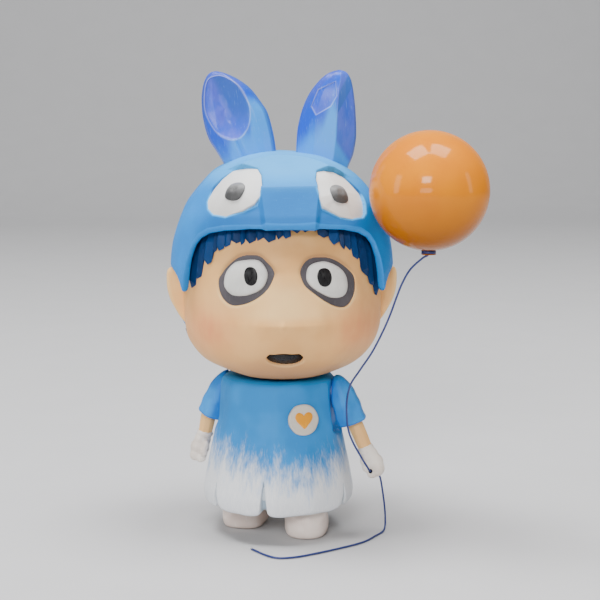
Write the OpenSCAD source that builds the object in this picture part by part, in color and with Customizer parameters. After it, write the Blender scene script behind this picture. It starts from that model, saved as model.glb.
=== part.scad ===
// Vinyl toy figure: a child in a long-eared hood, holding a balloon on a string.
// The head swivels on the neck and both arms swing at the shoulders.
// Millimetres, +Z up, face towards -Y, figure's own left towards +X, soles on Z = 0.

/* [Tunic] */
// Radius of the tunic where it flares widest, just above the hem
hem_r = 37.5; // [34:0.5:42]
// Height of the hem above the floor
hem_z = 16; // [14:0.5:19]
// Radius of the tunic at the shoulders
shoulder_r = 29; // [28:0.5:31]
// Height of the tunic's top
tunic_top_z = 77; // [70:0.5:84]
// Wall of the tunic
tunic_t = 2.2; // [1.6:0.1:3]
// How far the body is turned away from the face, in degrees
body_yaw = -17; // [-30:1:15]

/* [Feet] */
// Width of a foot
foot_w = 21.5; // [18:0.5:24]
// Length of a foot
foot_l = 29; // [24:0.5:32]
// Distance between the middles of the feet
foot_gap = 31; // [28:0.5:34]
// How far the left foot stands in front of the right one
foot_step = 9; // [0:0.5:12]
// Radius of the peg on top of each leg
leg_peg_r = 4; // [3:0.25:5]
// Thickness of the plate that holds the legs
hip_t = 3; // [2:0.25:4]
// Height of the underside of that plate
hip_z = 24; // [22:0.5:28]

/* [Head] */
// Radius of the head at the cheeks
head_r = 49.3; // [44:0.1:54]
// Gap between the chin and the tunic's top
chin_gap = 1.5; // [1:0.1:3]
// Wall of the head
head_t = 2.5; // [1.8:0.1:3.5]
// Radius of each eye's grey rim
eye_r = 12.4; // [10:0.1:13]
// Radius of the white of each eye
eye_white_r = 9.9; // [8:0.1:10.5]
// Radius of each pupil
pupil_r = 4.2; // [3:0.1:5]
// Length of the mouth
mouth_w = 17; // [12:0.5:22]
// Height of the mouth
mouth_h = 4.4; // [3:0.2:6]
// How far each ear stands out from the side of the head
ear_out = 8.1; // [6:0.1:10]

/* [Hood] */
// Wall of the hood
hood_t = 3.2; // [2.4:0.1:4]
// Thickness of the hair between the head and the hood
hair_t = 3; // [2:0.1:4]
// Width of the fringe of hair below the hood's edge
fringe_w = 7; // [4:0.5:9]
// Radius of each of the hood's eyes
hood_eye_r = 10.6; // [9:0.1:11.5]
// Radius of each of the hood's pupils
hood_pupil_r = 4.3; // [3:0.1:5]
// Height of the tips of the hood's ears
ear_tip_z = 230; // [224:1:236]

/* [Joints] */
// Radius of the neck post
neck_r = 6; // [5:0.25:7]
// Radius of each shoulder peg
shoulder_peg_r = 3; // [2.5:0.1:3.5]
// Radial running clearance in the neck and the shoulders
running_gap = 0.06; // [0.02:0.01:0.1]
// Gap between the faces of bodies that turn against each other
face_gap = 0.4; // [0.3:0.05:0.8]

/* [Arms] */
// Radius of the ball at the top of each sleeve
sleeve_r = 8; // [7:0.1:8.4]
// Length of each sleeve below the shoulder
sleeve_l = 17; // [14:0.5:20]
// Radius of each forearm
forearm_r = 3.9; // [3:0.1:4.5]
// Radius of the palm of each hand
palm_r = 5.3; // [4.5:0.1:6]

/* [Badge] */
// Radius of the badge
badge_r = 7.7; // [5:0.1:9]
// Thickness of the badge at its middle
badge_t = 1.2; // [0.8:0.1:2]

/* [Balloon] */
// Radius of the balloon
balloon_r = 28.5; // [24:0.5:30]
// Height of the balloon's middle above the widest level of the head
balloon_up = 61; // [55:1:71]
// How far the balloon reaches in past the side of the hood, in front of it
balloon_lap = 15.6; // [10:0.2:16]
// Distance of the balloon's middle from the figure's axis, to the front
balloon_y = 38; // [38:0.5:44]
// Wall of the balloon
balloon_t = 1.2; // [0.8:0.1:2]
// Diameter of the string
string_d = 1; // [0.8:0.1:1.4]
// Radius of the hole for the string in the left hand
string_hole_r = 0.9; // [0.75:0.05:1.2]

/* [Hidden] */
$fn = 64;
hull_fn = 20;
far = 200;

hood_blue = [0.42, 0.70, 0.90];
ear_blue = [0.32, 0.45, 0.80];
hair_navy = [0.04, 0.25, 0.50];
skin = [0.93, 0.80, 0.65];
off_white = [0.90, 0.90, 0.90];
dark = [0.08, 0.08, 0.09];
rim_grey = [0.38, 0.37, 0.40];
tunic_blue = [0.40, 0.69, 0.90];
foot_white = [0.92, 0.85, 0.84];
orange = [0.95, 0.60, 0.08];
string_navy = [0.06, 0.10, 0.38];

// Head: rise of the crown and drop of the chin from the cheeks, its widest level
crown_rise = 72;
chin_drop = 34.5;
chin_z = tunic_top_z + chin_gap;
head_mid_z = chin_z + chin_drop;
chin_power = 2.4;
// Hood: its size, its widest level, its rise from there and how it would close below
hood_r = head_r + hair_t + hood_t;
hood_up = 15;
hood_mid_z = head_mid_z + hood_up;
crown_gap = 0.3;
hood_rise = crown_rise + hair_t + hood_t + crown_gap - hood_up;
hood_drop = 90;
hood_power = 2.3;
// Edge of the hood seen from the side, from the brim over the ear to the nape, as [y, z]
hood_edge = [
    for (p = [[-90, 43], [-33, 39.5], [-27, 16], [-22, 13], [-5, 20], [1, 20], [12, -9], [90, -16]])
        [p[0], head_mid_z + p[1]]
];
hair_tuck = 8;
// Ears of the figure: thickness, top and slot clearance
ear_t = 5;
ear_y = -2;
ear_rise = 20;
ear_top_z = head_mid_z + ear_rise;
ear_h = 26;
ear_reach = head_r + ear_out;
slot_gap = 0.2;
// Height of the balloon's middle
balloon_z = head_mid_z + balloon_up;

// Places of the eyes on the head and on the hood
eye_x = 18.8;
eye_z = head_mid_z + 19.5;
eye_yaw = 18;
eye_depth = 6;
eye_dome = 2.4;
pupil_in = 2.3;
pupil_up = 2;
pupil_t = 1.2;
pupil_pocket = 0.8;
pupil_drop = 0.8;
cut_depth = 5;
hood_eye_x = 23.7;
hood_eye_z = hood_mid_z + 46;
hood_eye_yaw = 30;
hood_eye_tilt = 35;
hood_eye_seat = 1.2;
ear_balls_right = [[-32, 6, 6], [-23, 10.5, 6.5], [-32.5, 18, 6.5], [-14, 22, 7], [-22, 40, 8], [-11, 40, 7]];
ear_balls_left = [[27.5, 6, 6], [22, 11, 6], [29.5, 18, 6.5], [16, 22, 6.5], [28, 42, 7.5], [14, 39, 7]];
mouth_z = head_mid_z - 18;
mouth_sink = 0.8;

// Neck: heights of the post, the socket and their flanges
neck_wall = 3;
socket_r = neck_r + running_gap + neck_wall;
socket_flange_r = socket_r + 4;
boss_r = socket_flange_r + 1;
boss_rise = 0.2;
boss_z = chin_z + head_t + boss_rise;
socket_bottom_z = tunic_top_z + face_gap;
socket_top_z = boss_z + 6;
post_rim_r = neck_r + 1.5;
post_flange_r = neck_r + 5;
flange_t = 2;

// Shoulders: the flat that each arm turns against, and the pad behind it
shoulder_z = tunic_top_z - 5;
recess_x = shoulder_r - 0.6;
recess_r = sleeve_l + sleeve_r - 1;
pad_t = tunic_t;
ball_x = recess_x + 2.4;
peg_in = 3;
peg_out = 5;
peg_rim_r = shoulder_peg_r + 1;
sleeve_lean = 19;
sleeve_hem_r = sleeve_r - 0.4;
forearm_lean_right = 10;
forearm_lean_left = 24;
forearm_l_right = 10;
forearm_l_left = 12.5;
forearm_seat = 5;

// Badge: its place on the chest
badge_yaw = 35;
badge_drop = 15;
badge_z = tunic_top_z - badge_drop;
badge_tilt = 10.7;
badge_sink = 1;
emblem_t = 0.5;

// Balloon: its place beside the hood, and its nozzle, measured from the balloon's middle
balloon_x = hood_r + balloon_r - balloon_lap;
nozzle_r = 2.6;
nozzle_lip_r = 3.6;
nozzle_lip_h = 0.7;
nozzle_hole_r = 1;
nozzle_top = -balloon_r + 2;
nozzle_bottom = -balloon_r - 1.6;
wrap_z = -balloon_r - 0.35;

// Whole object: the figure stands beside the balloon, and the origin is below the middle of both
figure_x = -(balloon_x + balloon_r - ear_reach) / 2;
figure_y = (balloon_y + balloon_r - hood_r) / 2;

// Route of the string from the balloon to the hand, from the figure's axis
string_route = [
    [68.4, -38, 145.2], [67.9, -37.9, 143.4], [65.6, -37.5, 142], [60, -36.6, 136.6], [56.3, -36, 130],
    [53.6, -35.6, 123], [50.8, -35.5, 115], [47.3, -35, 106.5], [42.2, -33.6, 96], [36.3, -31.6, 86.5],
    [32.2, -30.1, 79.5], [30.6, -29, 71.5], [30.6, -28, 63], [31.6, -26.5, 56], [34, -25, 49.5],
    [38, -23.5, 42], [41.5, -21.8, 36], [43.2, -19.4, 33.4], [47.2, -12.4, 30.7]
];
// Route of its tail from the hand down to the floor and in front of the feet
tail_route = [
    [47.4, -12.1, 30.5], [49, -10.2, 27.5], [50.2, -9.6, 21], [51.3, -9.4, 13], [51.8, -9.3, 6],
    [51.5, -10.4, 1.9], [50, -14, 0.6], [46, -20.5, 0.6], [38.5, -31, 0.6], [25, -41, 0.6],
    [11, -49.5, 0.6], [3, -53, 0.6], [-4, -53.5, 0.6], [-9.5, -49, 0.6], [-16, -39.5, 0.6]
];
knot_r = 0.9;

// ---------------------------------------------------------------- shapes

// Radius of a rounded body at height z
function blob_radius(z, r, mid, up, down, power) =
    let (t = z > mid ? (z - mid) / up : (mid - z) / down)
    r * pow(max(0, 1 - pow(t, power)), 1 / power);

function head_radius(z) =
    let (power = z > head_mid_z ? hood_power : chin_power)
    blob_radius(z, head_r, head_mid_z, crown_rise, chin_drop, power);
function hood_radius(z) = blob_radius(z, hood_r, hood_mid_z, hood_rise, hood_drop, hood_power);

// Upright rounded body of revolution
module blob(r, mid, up, down, power_up, power_down) {
    rotate_extrude()
        polygon([
            for (a = [-90:10:90])
                let (power = a > 0 ? power_up : power_down, high = a > 0 ? up : -down)
                [abs(a) == 90 ? 0 : r * pow(cos(a), 2 / power), mid + high * pow(abs(sin(a)), 2 / power)]
        ]);
}

module head_solid(inset = 0) {
    blob(head_r - inset, head_mid_z, crown_rise - inset, chin_drop - inset, hood_power, chin_power);
}

module hood_solid(inset = 0) {
    blob(hood_r - inset, hood_mid_z, hood_rise - inset, hood_drop - inset, hood_power, hood_power);
}

// Region below the hood's edge, lowered by drop
module below_edge(drop = 0) {
    lowered = [for (p = hood_edge) [p[0], p[1] - drop]];
    translate([-far / 2, 0, 0])
        rotate([90, 0, 90])
            linear_extrude(far)
                polygon(concat(lowered, [[90, 0], [-90, 0]]));
}

// Outer profile of the tunic with its wall taken off, as [r, z] from the hem to the neckline
function tunic_profile(inset) = let (body_h = tunic_top_z - hem_z) [
    [hem_r - 0.8 - inset, hem_z], [hem_r - inset, hem_z + 6],
    [shoulder_r + 5.5 - inset, hem_z + 0.4 * body_h],
    [shoulder_r + 3 - inset, hem_z + 0.6 * body_h], [shoulder_r + 0.6 - inset, hem_z + 0.82 * body_h],
    [shoulder_r - 0.7 - inset, tunic_top_z - 6 - inset / 2],
    [shoulder_r - 3 - inset, tunic_top_z - 2.5 - inset],
    [shoulder_r - 7 - inset, tunic_top_z - 0.5 - inset], [12, tunic_top_z - inset]
];

module tunic_solid(inset = 0) {
    rotate_extrude() polygon(concat([[0, hem_z]], tunic_profile(inset), [[0, tunic_top_z - inset]]));
}

// Puts children on a surface point, with their +Z pointing out of it
module on_surface(radius, x, z, yaw, tilt) {
    translate([x, -sqrt(radius * radius - x * x), z])
        rotate([0, 0, yaw])
            rotate([90 - tilt, 0, 0])
                children();
}

module at_figure() {
    translate([figure_x, figure_y, 0]) children();
}

module at_body() {
    at_figure() rotate([0, 0, body_yaw]) children();
}

// Cylinder along X from x0 to x1, on the shoulder's axis
module shoulder_cylinder(side, r, x0, x1) {
    translate([side * x0, 0, shoulder_z]) rotate([0, side * 90, 0]) cylinder(r = r, h = x1 - x0);
}

// Lens-shaped plug: a cylinder with a domed top
module domed_plug(r, bottom, seat, rise) {
    dome_r = (r * r + rise * rise) / (2 * rise);
    translate([0, 0, bottom]) cylinder(r = r, h = seat - bottom);
    intersection() {
        translate([0, 0, seat + rise - dome_r]) sphere(r = dome_r, $fn = 96);
        translate([0, 0, seat - 0.01]) cylinder(r = r, h = rise + 1);
    }
}

// ---------------------------------------------------------------- string

function cross_unit(a, b) = let (c = cross(a, b)) c / norm(c);

// Point of the smooth curve through the route, t in spans
function route_point(route, t) =
    let (last = len(route) - 1, i = min(floor(t), last - 1), u = t - i)
    let (p1 = route[i], p2 = route[i + 1])
    let (p0 = i > 0 ? route[i - 1] : 2 * p1 - p2, p3 = i + 2 <= last ? route[i + 2] : 2 * p2 - p1)
    0.5 * (2 * p1 + (p2 - p0) * u + (2 * p0 - 5 * p1 + 4 * p2 - p3) * u * u
        + (3 * p1 - p0 - 3 * p2 + p3) * u * u * u);

// Tube of eight sides along the route
module string_tube(route, rings) {
    sides = 8;
    last = len(route) - 1;
    step = last / rings;
    path = [for (i = [0:rings]) route_point(route, i * step)];
    faces_of_sides = [
        for (i = [0:rings - 1], j = [0:sides - 1])
            let (near = i * sides, far_ring = near + sides, k = (j + 1) % sides)
                [near + j, near + k, far_ring + k, far_ring + j]
    ];
    points = [
        for (i = [0:rings])
            let (ahead = path[min(i + 1, rings)], behind = path[max(i - 1, 0)])
            let (along = (ahead - behind) / norm(ahead - behind))
            let (across = cross_unit(along, [0.31, 0.94, 0.12]), up = cross(along, across))
            for (j = [0:sides - 1])
                path[i] + string_d / 2 * (cos(j * 360 / sides) * across + sin(j * 360 / sides) * up)
    ];
    polyhedron(
        points,
        concat(
            faces_of_sides,
            [[for (j = [sides - 1:-1:0]) j]],
            [[for (j = [0:sides - 1]) rings * sides + j]]
        )
    );
}

// ---------------------------------------------------------------- body

module tunic_shell() {
    color(tunic_blue) at_body() difference() {
        union() {
            difference() {
                tunic_solid();
                translate([0, 0, -0.01]) tunic_solid(tunic_t);
            }
            intersection() {
                tunic_solid();
                for (side = [-1, 1])
                    shoulder_cylinder(side, recess_r + pad_t, recess_x - pad_t, recess_x + 0.5);
            }
        }
        for (side = [-1, 1]) {
            shoulder_cylinder(side, recess_r, recess_x, far);
            shoulder_cylinder(side, shoulder_peg_r + running_gap, 0, far);
            shoulder_cylinder(side, peg_rim_r + face_gap, 0, recess_x - pad_t);
        }
        translate([0, 0, shoulder_z]) cylinder(r = neck_r, h = far);
        at_badge() translate([0, 0, -badge_sink]) cylinder(r = badge_r, h = far);
    }
}

module hip_plate() {
    color(off_white) at_body() difference() {
        intersection() {
            tunic_solid(tunic_t);
            translate([0, 0, hip_z]) cylinder(r = far, h = hip_t);
        }
        for (side = [-1, 1])
            translate([side * foot_gap / 2, side * -foot_step / 2, 0]) cylinder(r = leg_peg_r, h = far);
    }
}

module foot(side) {
    heel_r = foot_w / 2 - 1.6;
    toe_r = foot_w / 2;
    color(foot_white) at_body() translate([side * foot_gap / 2, side * -foot_step / 2, 0]) {
        intersection() {
            hull() {
                translate([0, foot_l / 2 - heel_r, heel_r - 2.6]) sphere(r = heel_r, $fn = hull_fn);
                translate([side * 0.6, toe_r - foot_l / 2, toe_r - 4.4]) sphere(r = toe_r, $fn = hull_fn);
            }
            translate([-far / 2, -far / 2, 0]) cube([far, far, 2 * foot_w]);
        }
        translate([0, 0, foot_w / 3]) cylinder(r = leg_peg_r + 3, h = hip_z - foot_w / 3);
        translate([0, 0, hip_z - 1]) cylinder(r = leg_peg_r, h = hip_t + 3);
    }
}

module neck_post() {
    color(off_white) at_figure() {
        translate([0, 0, tunic_top_z - tunic_t - flange_t]) cylinder(r = post_flange_r, h = flange_t);
        translate([0, 0, tunic_top_z - tunic_t - flange_t])
            cylinder(r = neck_r, h = socket_top_z + face_gap + flange_t - tunic_top_z + tunic_t + flange_t);
        translate([0, 0, socket_top_z + face_gap]) cylinder(r = post_rim_r, h = flange_t);
    }
}

// Puts children on the chest, with their +Z pointing out of the badge
module at_badge() {
    chest_r = shoulder_r + 1.3;
    rotate([0, 0, badge_yaw])
        translate([0, -chest_r, badge_z])
            rotate([90 - badge_tilt, 0, 0])
                children();
}

module badge_disc() {
    color(off_white) at_body() at_badge()
        translate([0, 0, -badge_sink])
            cylinder(r = badge_r, h = badge_sink + badge_t);
}

// Heart of two lobes and a point
module heart(t) {
    lobe = badge_r * 0.27;
    linear_extrude(t) rotate(45) {
        square(2 * lobe, center = true);
        translate([0, lobe]) circle(r = lobe, $fn = 48);
        translate([lobe, 0]) circle(r = lobe, $fn = 48);
    }
}

module badge_emblem() {
    color(orange) at_body() at_badge() translate([0, 0, badge_t]) heart(emblem_t);
}

// ---------------------------------------------------------------- head

module at_eye(side) {
    on_surface(head_radius(eye_z), side * eye_x, eye_z, side * eye_yaw, 0) children();
}

module at_hood_eye(side) {
    on_surface(hood_radius(hood_eye_z), side * hood_eye_x, hood_eye_z, side * hood_eye_yaw, hood_eye_tilt)
        children();
}

module at_mouth() {
    on_surface(head_radius(mouth_z), 0, mouth_z, 0, 0) children();
}

// Upright slot with round ends
module mouth_bar(bottom, top) {
    translate([0, 0, bottom]) linear_extrude(top - bottom) {
        square([mouth_w - mouth_h, mouth_h], center = true);
        for (side = [-1, 1]) translate([side * (mouth_w - mouth_h) / 2, 0]) circle(d = mouth_h, $fn = 32);
    }
}

// Space that each of the figure's ears passes through
module ear_slot(side) {
    outer = side * hood_r;
    translate([outer - 10, ear_y - ear_t / 2 - slot_gap, chin_z])
        cube([20, ear_t + 2 * slot_gap, ear_top_z + 1 - chin_z]);
}

module neck_socket() {
    color(off_white) at_figure() difference() {
        union() {
            translate([0, 0, socket_bottom_z]) cylinder(r = socket_r, h = socket_top_z - socket_bottom_z);
            translate([0, 0, boss_z]) cylinder(r = socket_flange_r, h = flange_t);
        }
        cylinder(r = neck_r + running_gap, h = far);
    }
}

module head_shell() {
    color(skin) at_figure() difference() {
        head_solid();
        difference() {
            head_solid(head_t);
            cylinder(r = boss_r, h = boss_z);
        }
        cylinder(r = socket_r, h = head_mid_z);
        translate([0, 0, boss_z]) cylinder(r = boss_r, h = flange_t);
        for (side = [-1, 1])
            at_eye(side) translate([0, 0, -eye_depth * 2]) cylinder(r = eye_r, h = eye_depth * 4);
        at_mouth() mouth_bar(-8, 8);
    }
}

// Band of hair between the head and the hood, on one side of the figure's ears
module hair(front) {
    color(hair_navy) at_figure() difference() {
        hood_solid(hood_t);
        head_solid();
        below_edge(fringe_w);
        translate([0, 0, hair_tuck]) above_edge();
        for (side = [-1, 1])
            at_eye(side) translate([0, 0, -eye_depth]) cylinder(r = eye_r + slot_gap, h = eye_depth * 2);
        translate([-far / 2, front ? ear_y - ear_t / 2 - slot_gap : ear_y + ear_t / 2 + slot_gap - far, 0])
            cube([far, far, far * 2]);
    }
}

// Region above the hood's edge
module above_edge() {
    translate([-far / 2, 0, 0])
        rotate([90, 0, 90])
            linear_extrude(far)
                polygon(concat(hood_edge, [[90, far * 1.5], [-90, far * 1.5]]));
}

module mouth_insert() {
    color(dark) at_figure() at_mouth() mouth_bar(-4, -mouth_sink);
}

module ear(side) {
    outline = [
        [-3.3, 26], [4.7, 26], [ear_out, 20], [ear_out - 0.6, 13], [5.2, 4], [1.7, -3], [-3.3, -6]
    ];
    color(skin) at_figure() difference() {
        translate([0, ear_y + ear_t / 2, ear_top_z - ear_h])
            rotate([90, 0, 0])
                linear_extrude(ear_t)
                    polygon([for (p = outline) [side * (head_r + p[0]), p[1]]]);
        head_solid();
    }
}

module eye_rim(side) {
    color(rim_grey) at_figure() at_eye(side) difference() {
        translate([0, 0, -eye_depth]) cylinder(r = eye_r, h = eye_depth + 0.3);
        translate([0, 0, -eye_depth - 1]) cylinder(r = eye_white_r, h = eye_depth + 2);
    }
}

module pupil_plug(side, h) {
    translate([-side * pupil_in, pupil_up, eye_dome - pupil_drop - pupil_pocket])
        cylinder(r = pupil_r, h = h);
}

module eye_white(side) {
    color(off_white) at_figure() at_eye(side) difference() {
        domed_plug(eye_white_r, -eye_depth, -0.6, eye_dome);
        pupil_plug(side, cut_depth);
    }
}

module pupil(side) {
    color(dark) at_figure() at_eye(side) pupil_plug(side, pupil_t);
}

// ---------------------------------------------------------------- hood

module hood_shell() {
    color(hood_blue) at_figure() difference() {
        hood_solid();
        hood_solid(hood_t);
        below_edge();
        for (side = [-1, 1]) {
            ear_slot(side);
            at_hood_eye(side) translate([0, 0, -8]) cylinder(r = hood_eye_r, h = 20);
        }
    }
}

// Ear of the hood, around balls given as [x, height below the tip, radius]
module hood_ear(balls) {
    color(ear_blue) at_figure() difference() {
        hull()
            for (b = balls)
                translate([b[0], 0, b[1] < 25 ? ear_tip_z - b[1] : hood_mid_z + hood_rise + 38.5 - b[1]])
                    sphere(r = b[2], $fn = hull_fn);
        hood_solid();
    }
}

module hood_eye(side) {
    color(off_white) at_figure() at_hood_eye(side) difference() {
        domed_plug(hood_eye_r, -5, -hood_eye_seat, eye_dome);
        translate([0, 0, eye_dome - hood_eye_seat - pupil_pocket]) cylinder(r = hood_pupil_r, h = cut_depth);
    }
}

module hood_pupil(side) {
    color(rim_grey) at_figure() at_hood_eye(side)
        translate([0, 0, eye_dome - hood_eye_seat - pupil_pocket]) cylinder(r = hood_pupil_r, h = pupil_t);
}

// ---------------------------------------------------------------- arms

// Puts children at the shoulder, with -Z running down the sleeve
module at_sleeve(side) {
    at_body() translate([side * ball_x, 0, shoulder_z]) rotate([0, -side * sleeve_lean, 0]) children();
}

// Puts children at the sleeve's hem, with -Z running down the forearm
module at_forearm(side, lean) {
    at_sleeve(side) translate([0, 0, -sleeve_l]) rotate([0, side * (sleeve_lean - lean), 0]) children();
}

module shoulder_peg(side) {
    color(off_white) at_body() {
        shoulder_cylinder(side, shoulder_peg_r, recess_x - pad_t - peg_in, recess_x + peg_out);
        shoulder_cylinder(side, peg_rim_r, recess_x - pad_t - peg_in, recess_x - pad_t - face_gap);
    }
}

module sleeve(side, lean) {
    color(tunic_blue) difference() {
        union() {
            at_sleeve(side) sphere(r = sleeve_r);
            at_sleeve(side)
                translate([0, 0, -sleeve_l])
                    cylinder(r1 = sleeve_hem_r, r2 = sleeve_r, h = sleeve_l);
        }
        at_body() translate([side * (recess_x + face_gap) - (side < 0 ? 0 : far), -far / 2, 0])
            cube([far, far, far]);
        at_body() shoulder_cylinder(side, shoulder_peg_r, recess_x - 5, recess_x + peg_out);
        at_forearm(side, lean) translate([0, 0, -5]) cylinder(r = forearm_r, h = 5 + forearm_seat);
    }
}

module forearm(side, lean, length) {
    color(skin) at_forearm(side, lean) translate([0, 0, -length])
        cylinder(r = forearm_r, h = length + forearm_seat);
}

// Mitten: wrist, palm and thumb
module hand(side, lean, length) {
    color(off_white) difference() {
        at_forearm(side, lean) translate([0, 0, -length]) {
            hull() {
                translate([0, 0, -1]) sphere(r = forearm_r + 0.5, $fn = hull_fn);
                translate([side * 0.8, -0.6, -8.8]) sphere(r = palm_r, $fn = hull_fn);
            }
            hull() {
                translate([side * -1.5, -2.5, -4]) sphere(r = 2.2, $fn = hull_fn);
                translate([side * -2, -3.6, -9]) sphere(r = 2.4, $fn = hull_fn);
            }
        }
        at_forearm(side, lean) translate([0, 0, -length]) cylinder(r = forearm_r, h = far);
        if (side > 0) string_hole();
    }
}

// Straight hole that the string takes through the hand
module string_hole() {
    from = string_route[len(string_route) - 2];
    to = string_route[len(string_route) - 1];
    along = to - from;
    at_figure() translate(from)
        rotate([0, acos(along[2] / norm(along)), atan2(along[1], along[0])])
            translate([0, 0, -4]) cylinder(r = string_hole_r, h = norm(along) + 10);
}

// ---------------------------------------------------------------- balloon

module at_balloon() {
    at_figure() translate([balloon_x, -balloon_y, balloon_z]) children();
}

module balloon_shell() {
    color(orange) at_balloon() difference() {
        sphere(r = balloon_r, $fn = 96);
        sphere(r = balloon_r - balloon_t, $fn = 96);
        translate([0, 0, -balloon_r - 1]) cylinder(r = nozzle_r, h = 6);
    }
}

module balloon_nozzle() {
    color(orange) at_balloon() difference() {
        union() {
            translate([0, 0, nozzle_bottom]) cylinder(r = nozzle_r, h = nozzle_top - nozzle_bottom);
            translate([0, 0, nozzle_bottom]) cylinder(r1 = nozzle_lip_r, r2 = nozzle_r, h = nozzle_lip_h);
        }
        translate([0, 0, nozzle_bottom - 1]) cylinder(r = nozzle_hole_r, h = far);
    }
}

module string_wrap() {
    color(string_navy) at_balloon() translate([0, 0, wrap_z])
        rotate_extrude() translate([nozzle_r + string_d / 2, 0]) circle(d = string_d, $fn = 24);
}

module balloon_string() {
    color(string_navy) at_figure() string_tube(string_route, 42);
}

module string_tail() {
    color(string_navy) at_figure() string_tube(tail_route, 38);
}

module string_end_knot() {
    color(off_white) at_figure() translate(tail_route[len(tail_route) - 1] + [-0.5, 0.9, knot_r - 0.6])
        sphere(r = knot_r, $fn = 24);
}

// ---------------------------------------------------------------- nodes

tunic_shell();
hip_plate();
foot(-1);  // foot_right
foot(1);  // foot_left
neck_post();
badge_disc();
badge_emblem();
neck_socket();
head_shell();
hair(true);  // hair_fringe
hair(false);  // hair_nape
mouth_insert();
ear(-1);  // ear_right
ear(1);  // ear_left
eye_rim(-1);  // eye_rim_right
eye_rim(1);  // eye_rim_left
eye_white(-1);  // eye_white_right
eye_white(1);  // eye_white_left
pupil(-1);  // pupil_right
pupil(1);  // pupil_left
hood_shell();
hood_ear(ear_balls_right);  // hood_ear_right
hood_ear(ear_balls_left);  // hood_ear_left
hood_eye(-1);  // hood_eye_right
hood_eye(1);  // hood_eye_left
hood_pupil(-1);  // hood_pupil_right
hood_pupil(1);  // hood_pupil_left
shoulder_peg(-1);  // shoulder_peg_right
sleeve(-1, forearm_lean_right);  // sleeve_right
forearm(-1, forearm_lean_right, forearm_l_right);  // forearm_right
hand(-1, forearm_lean_right, forearm_l_right);  // hand_right
shoulder_peg(1);  // shoulder_peg_left
sleeve(1, forearm_lean_left);  // sleeve_left
forearm(1, forearm_lean_left, forearm_l_left);  // forearm_left
hand(1, forearm_lean_left, forearm_l_left);  // hand_left
balloon_shell();
balloon_nozzle();
string_wrap();
balloon_string();
string_tail();
string_end_knot();
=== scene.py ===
"""Looks of the vinyl toy figure with a balloon.

Lengths are in millimetres about the figure's own axis (face towards -Y, its left towards +X),
and place() turns them into metres in the row frame. Each piece is built by its own function.
"""
import math

import bmesh
import bpy
import numpy as np
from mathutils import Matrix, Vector


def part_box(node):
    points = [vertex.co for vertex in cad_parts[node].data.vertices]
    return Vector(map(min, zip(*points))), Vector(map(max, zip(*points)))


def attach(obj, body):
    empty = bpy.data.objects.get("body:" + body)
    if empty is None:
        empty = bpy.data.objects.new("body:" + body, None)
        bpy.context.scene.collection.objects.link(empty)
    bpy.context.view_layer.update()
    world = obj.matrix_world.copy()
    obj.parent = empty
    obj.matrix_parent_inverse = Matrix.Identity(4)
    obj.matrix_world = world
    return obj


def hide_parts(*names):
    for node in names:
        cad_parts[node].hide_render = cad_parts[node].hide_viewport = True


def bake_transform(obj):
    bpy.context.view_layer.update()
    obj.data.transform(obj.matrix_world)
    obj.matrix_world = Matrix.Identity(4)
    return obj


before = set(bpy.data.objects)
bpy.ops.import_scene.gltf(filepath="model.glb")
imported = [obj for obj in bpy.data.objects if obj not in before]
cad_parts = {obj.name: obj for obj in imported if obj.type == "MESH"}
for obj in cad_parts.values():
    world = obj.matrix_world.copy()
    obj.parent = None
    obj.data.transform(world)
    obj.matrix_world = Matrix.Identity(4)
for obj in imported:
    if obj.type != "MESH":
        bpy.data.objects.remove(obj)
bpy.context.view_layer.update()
MM = 0.001


# ---------------------------------------------------------------- sizes taken from the frame

def box_mm(node):
    """Lowest and highest corner of a CAD node in millimetres of the row frame."""
    low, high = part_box(node)
    return np.array(low) / MM, np.array(high) / MM


post_low, post_high = box_mm("neck_post")
AXIS = np.array([(post_low[0] + post_high[0]) / 2, (post_low[1] + post_high[1]) / 2, 0.0])
head_low, head_high = box_mm("head_shell")
hood_low, hood_high = box_mm("hood_shell")
tunic_low, tunic_high = box_mm("tunic_shell")
balloon_low, balloon_high = box_mm("balloon_shell")

HEAD_R = (head_high[0] - head_low[0]) / 2
CHIN_DROP = 34.5
CROWN_RISE = 72.0
HEAD_MID = head_low[2] + CHIN_DROP
HEAD_CENTRE = np.array([0, 0, HEAD_MID])
HOOD_R = (hood_high[0] - hood_low[0]) / 2
HOOD_MID = HEAD_MID + 15
HOOD_RISE = hood_high[2] - HOOD_MID
HOOD_DROP = 90.0
HOOD_CENTRE = np.array([0, 0, HOOD_MID])
HOOD_WALL = 3.6
BALLOON_R = (balloon_high[0] - balloon_low[0]) / 2
BALLOON_CENTRE = (balloon_low + balloon_high) / 2 - AXIS
BODY_YAW = math.radians(-17)
SHOULDER_Z = 72.0
RECESS_X = {"right": 28.4, "left": 25.9}
RECESS_R = 19.8
TUNIC_TOP = tunic_high[2]
HEM_Z = tunic_low[2]
STRING_D = 1.0

EYE_YAW = 18
EYE_X = 18.8
EYE_Z = HEAD_MID + 19.5
HOOD_EYE_X = 23.7
HOOD_EYE_Z = HOOD_MID + 46
HOOD_EYE_YAW = 30
HOOD_EYE_TILT = 35
MOUTH_Z = HEAD_MID - 18.6


# ---------------------------------------------------------------- camera

CAMERA_YAW = math.radians(-2.5)
CAMERA_LOW = math.radians(8.5)
CAMERA_AWAY = 750.0
CAMERA_SIDE = 9.0
CAMERA_TARGET_Z = 116.75


def turned(points, angle):
    """Points turned round the vertical axis."""
    points = np.asarray(points, float)
    c, s = math.cos(angle), math.sin(angle)
    return np.stack(
        [points[..., 0] * c - points[..., 1] * s, points[..., 0] * s + points[..., 1] * c, points[..., 2]], -1
    )


def place(points):
    """Millimetres about the figure's axis as metres in the row frame."""
    return (np.asarray(points, float) + AXIS) * MM


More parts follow.
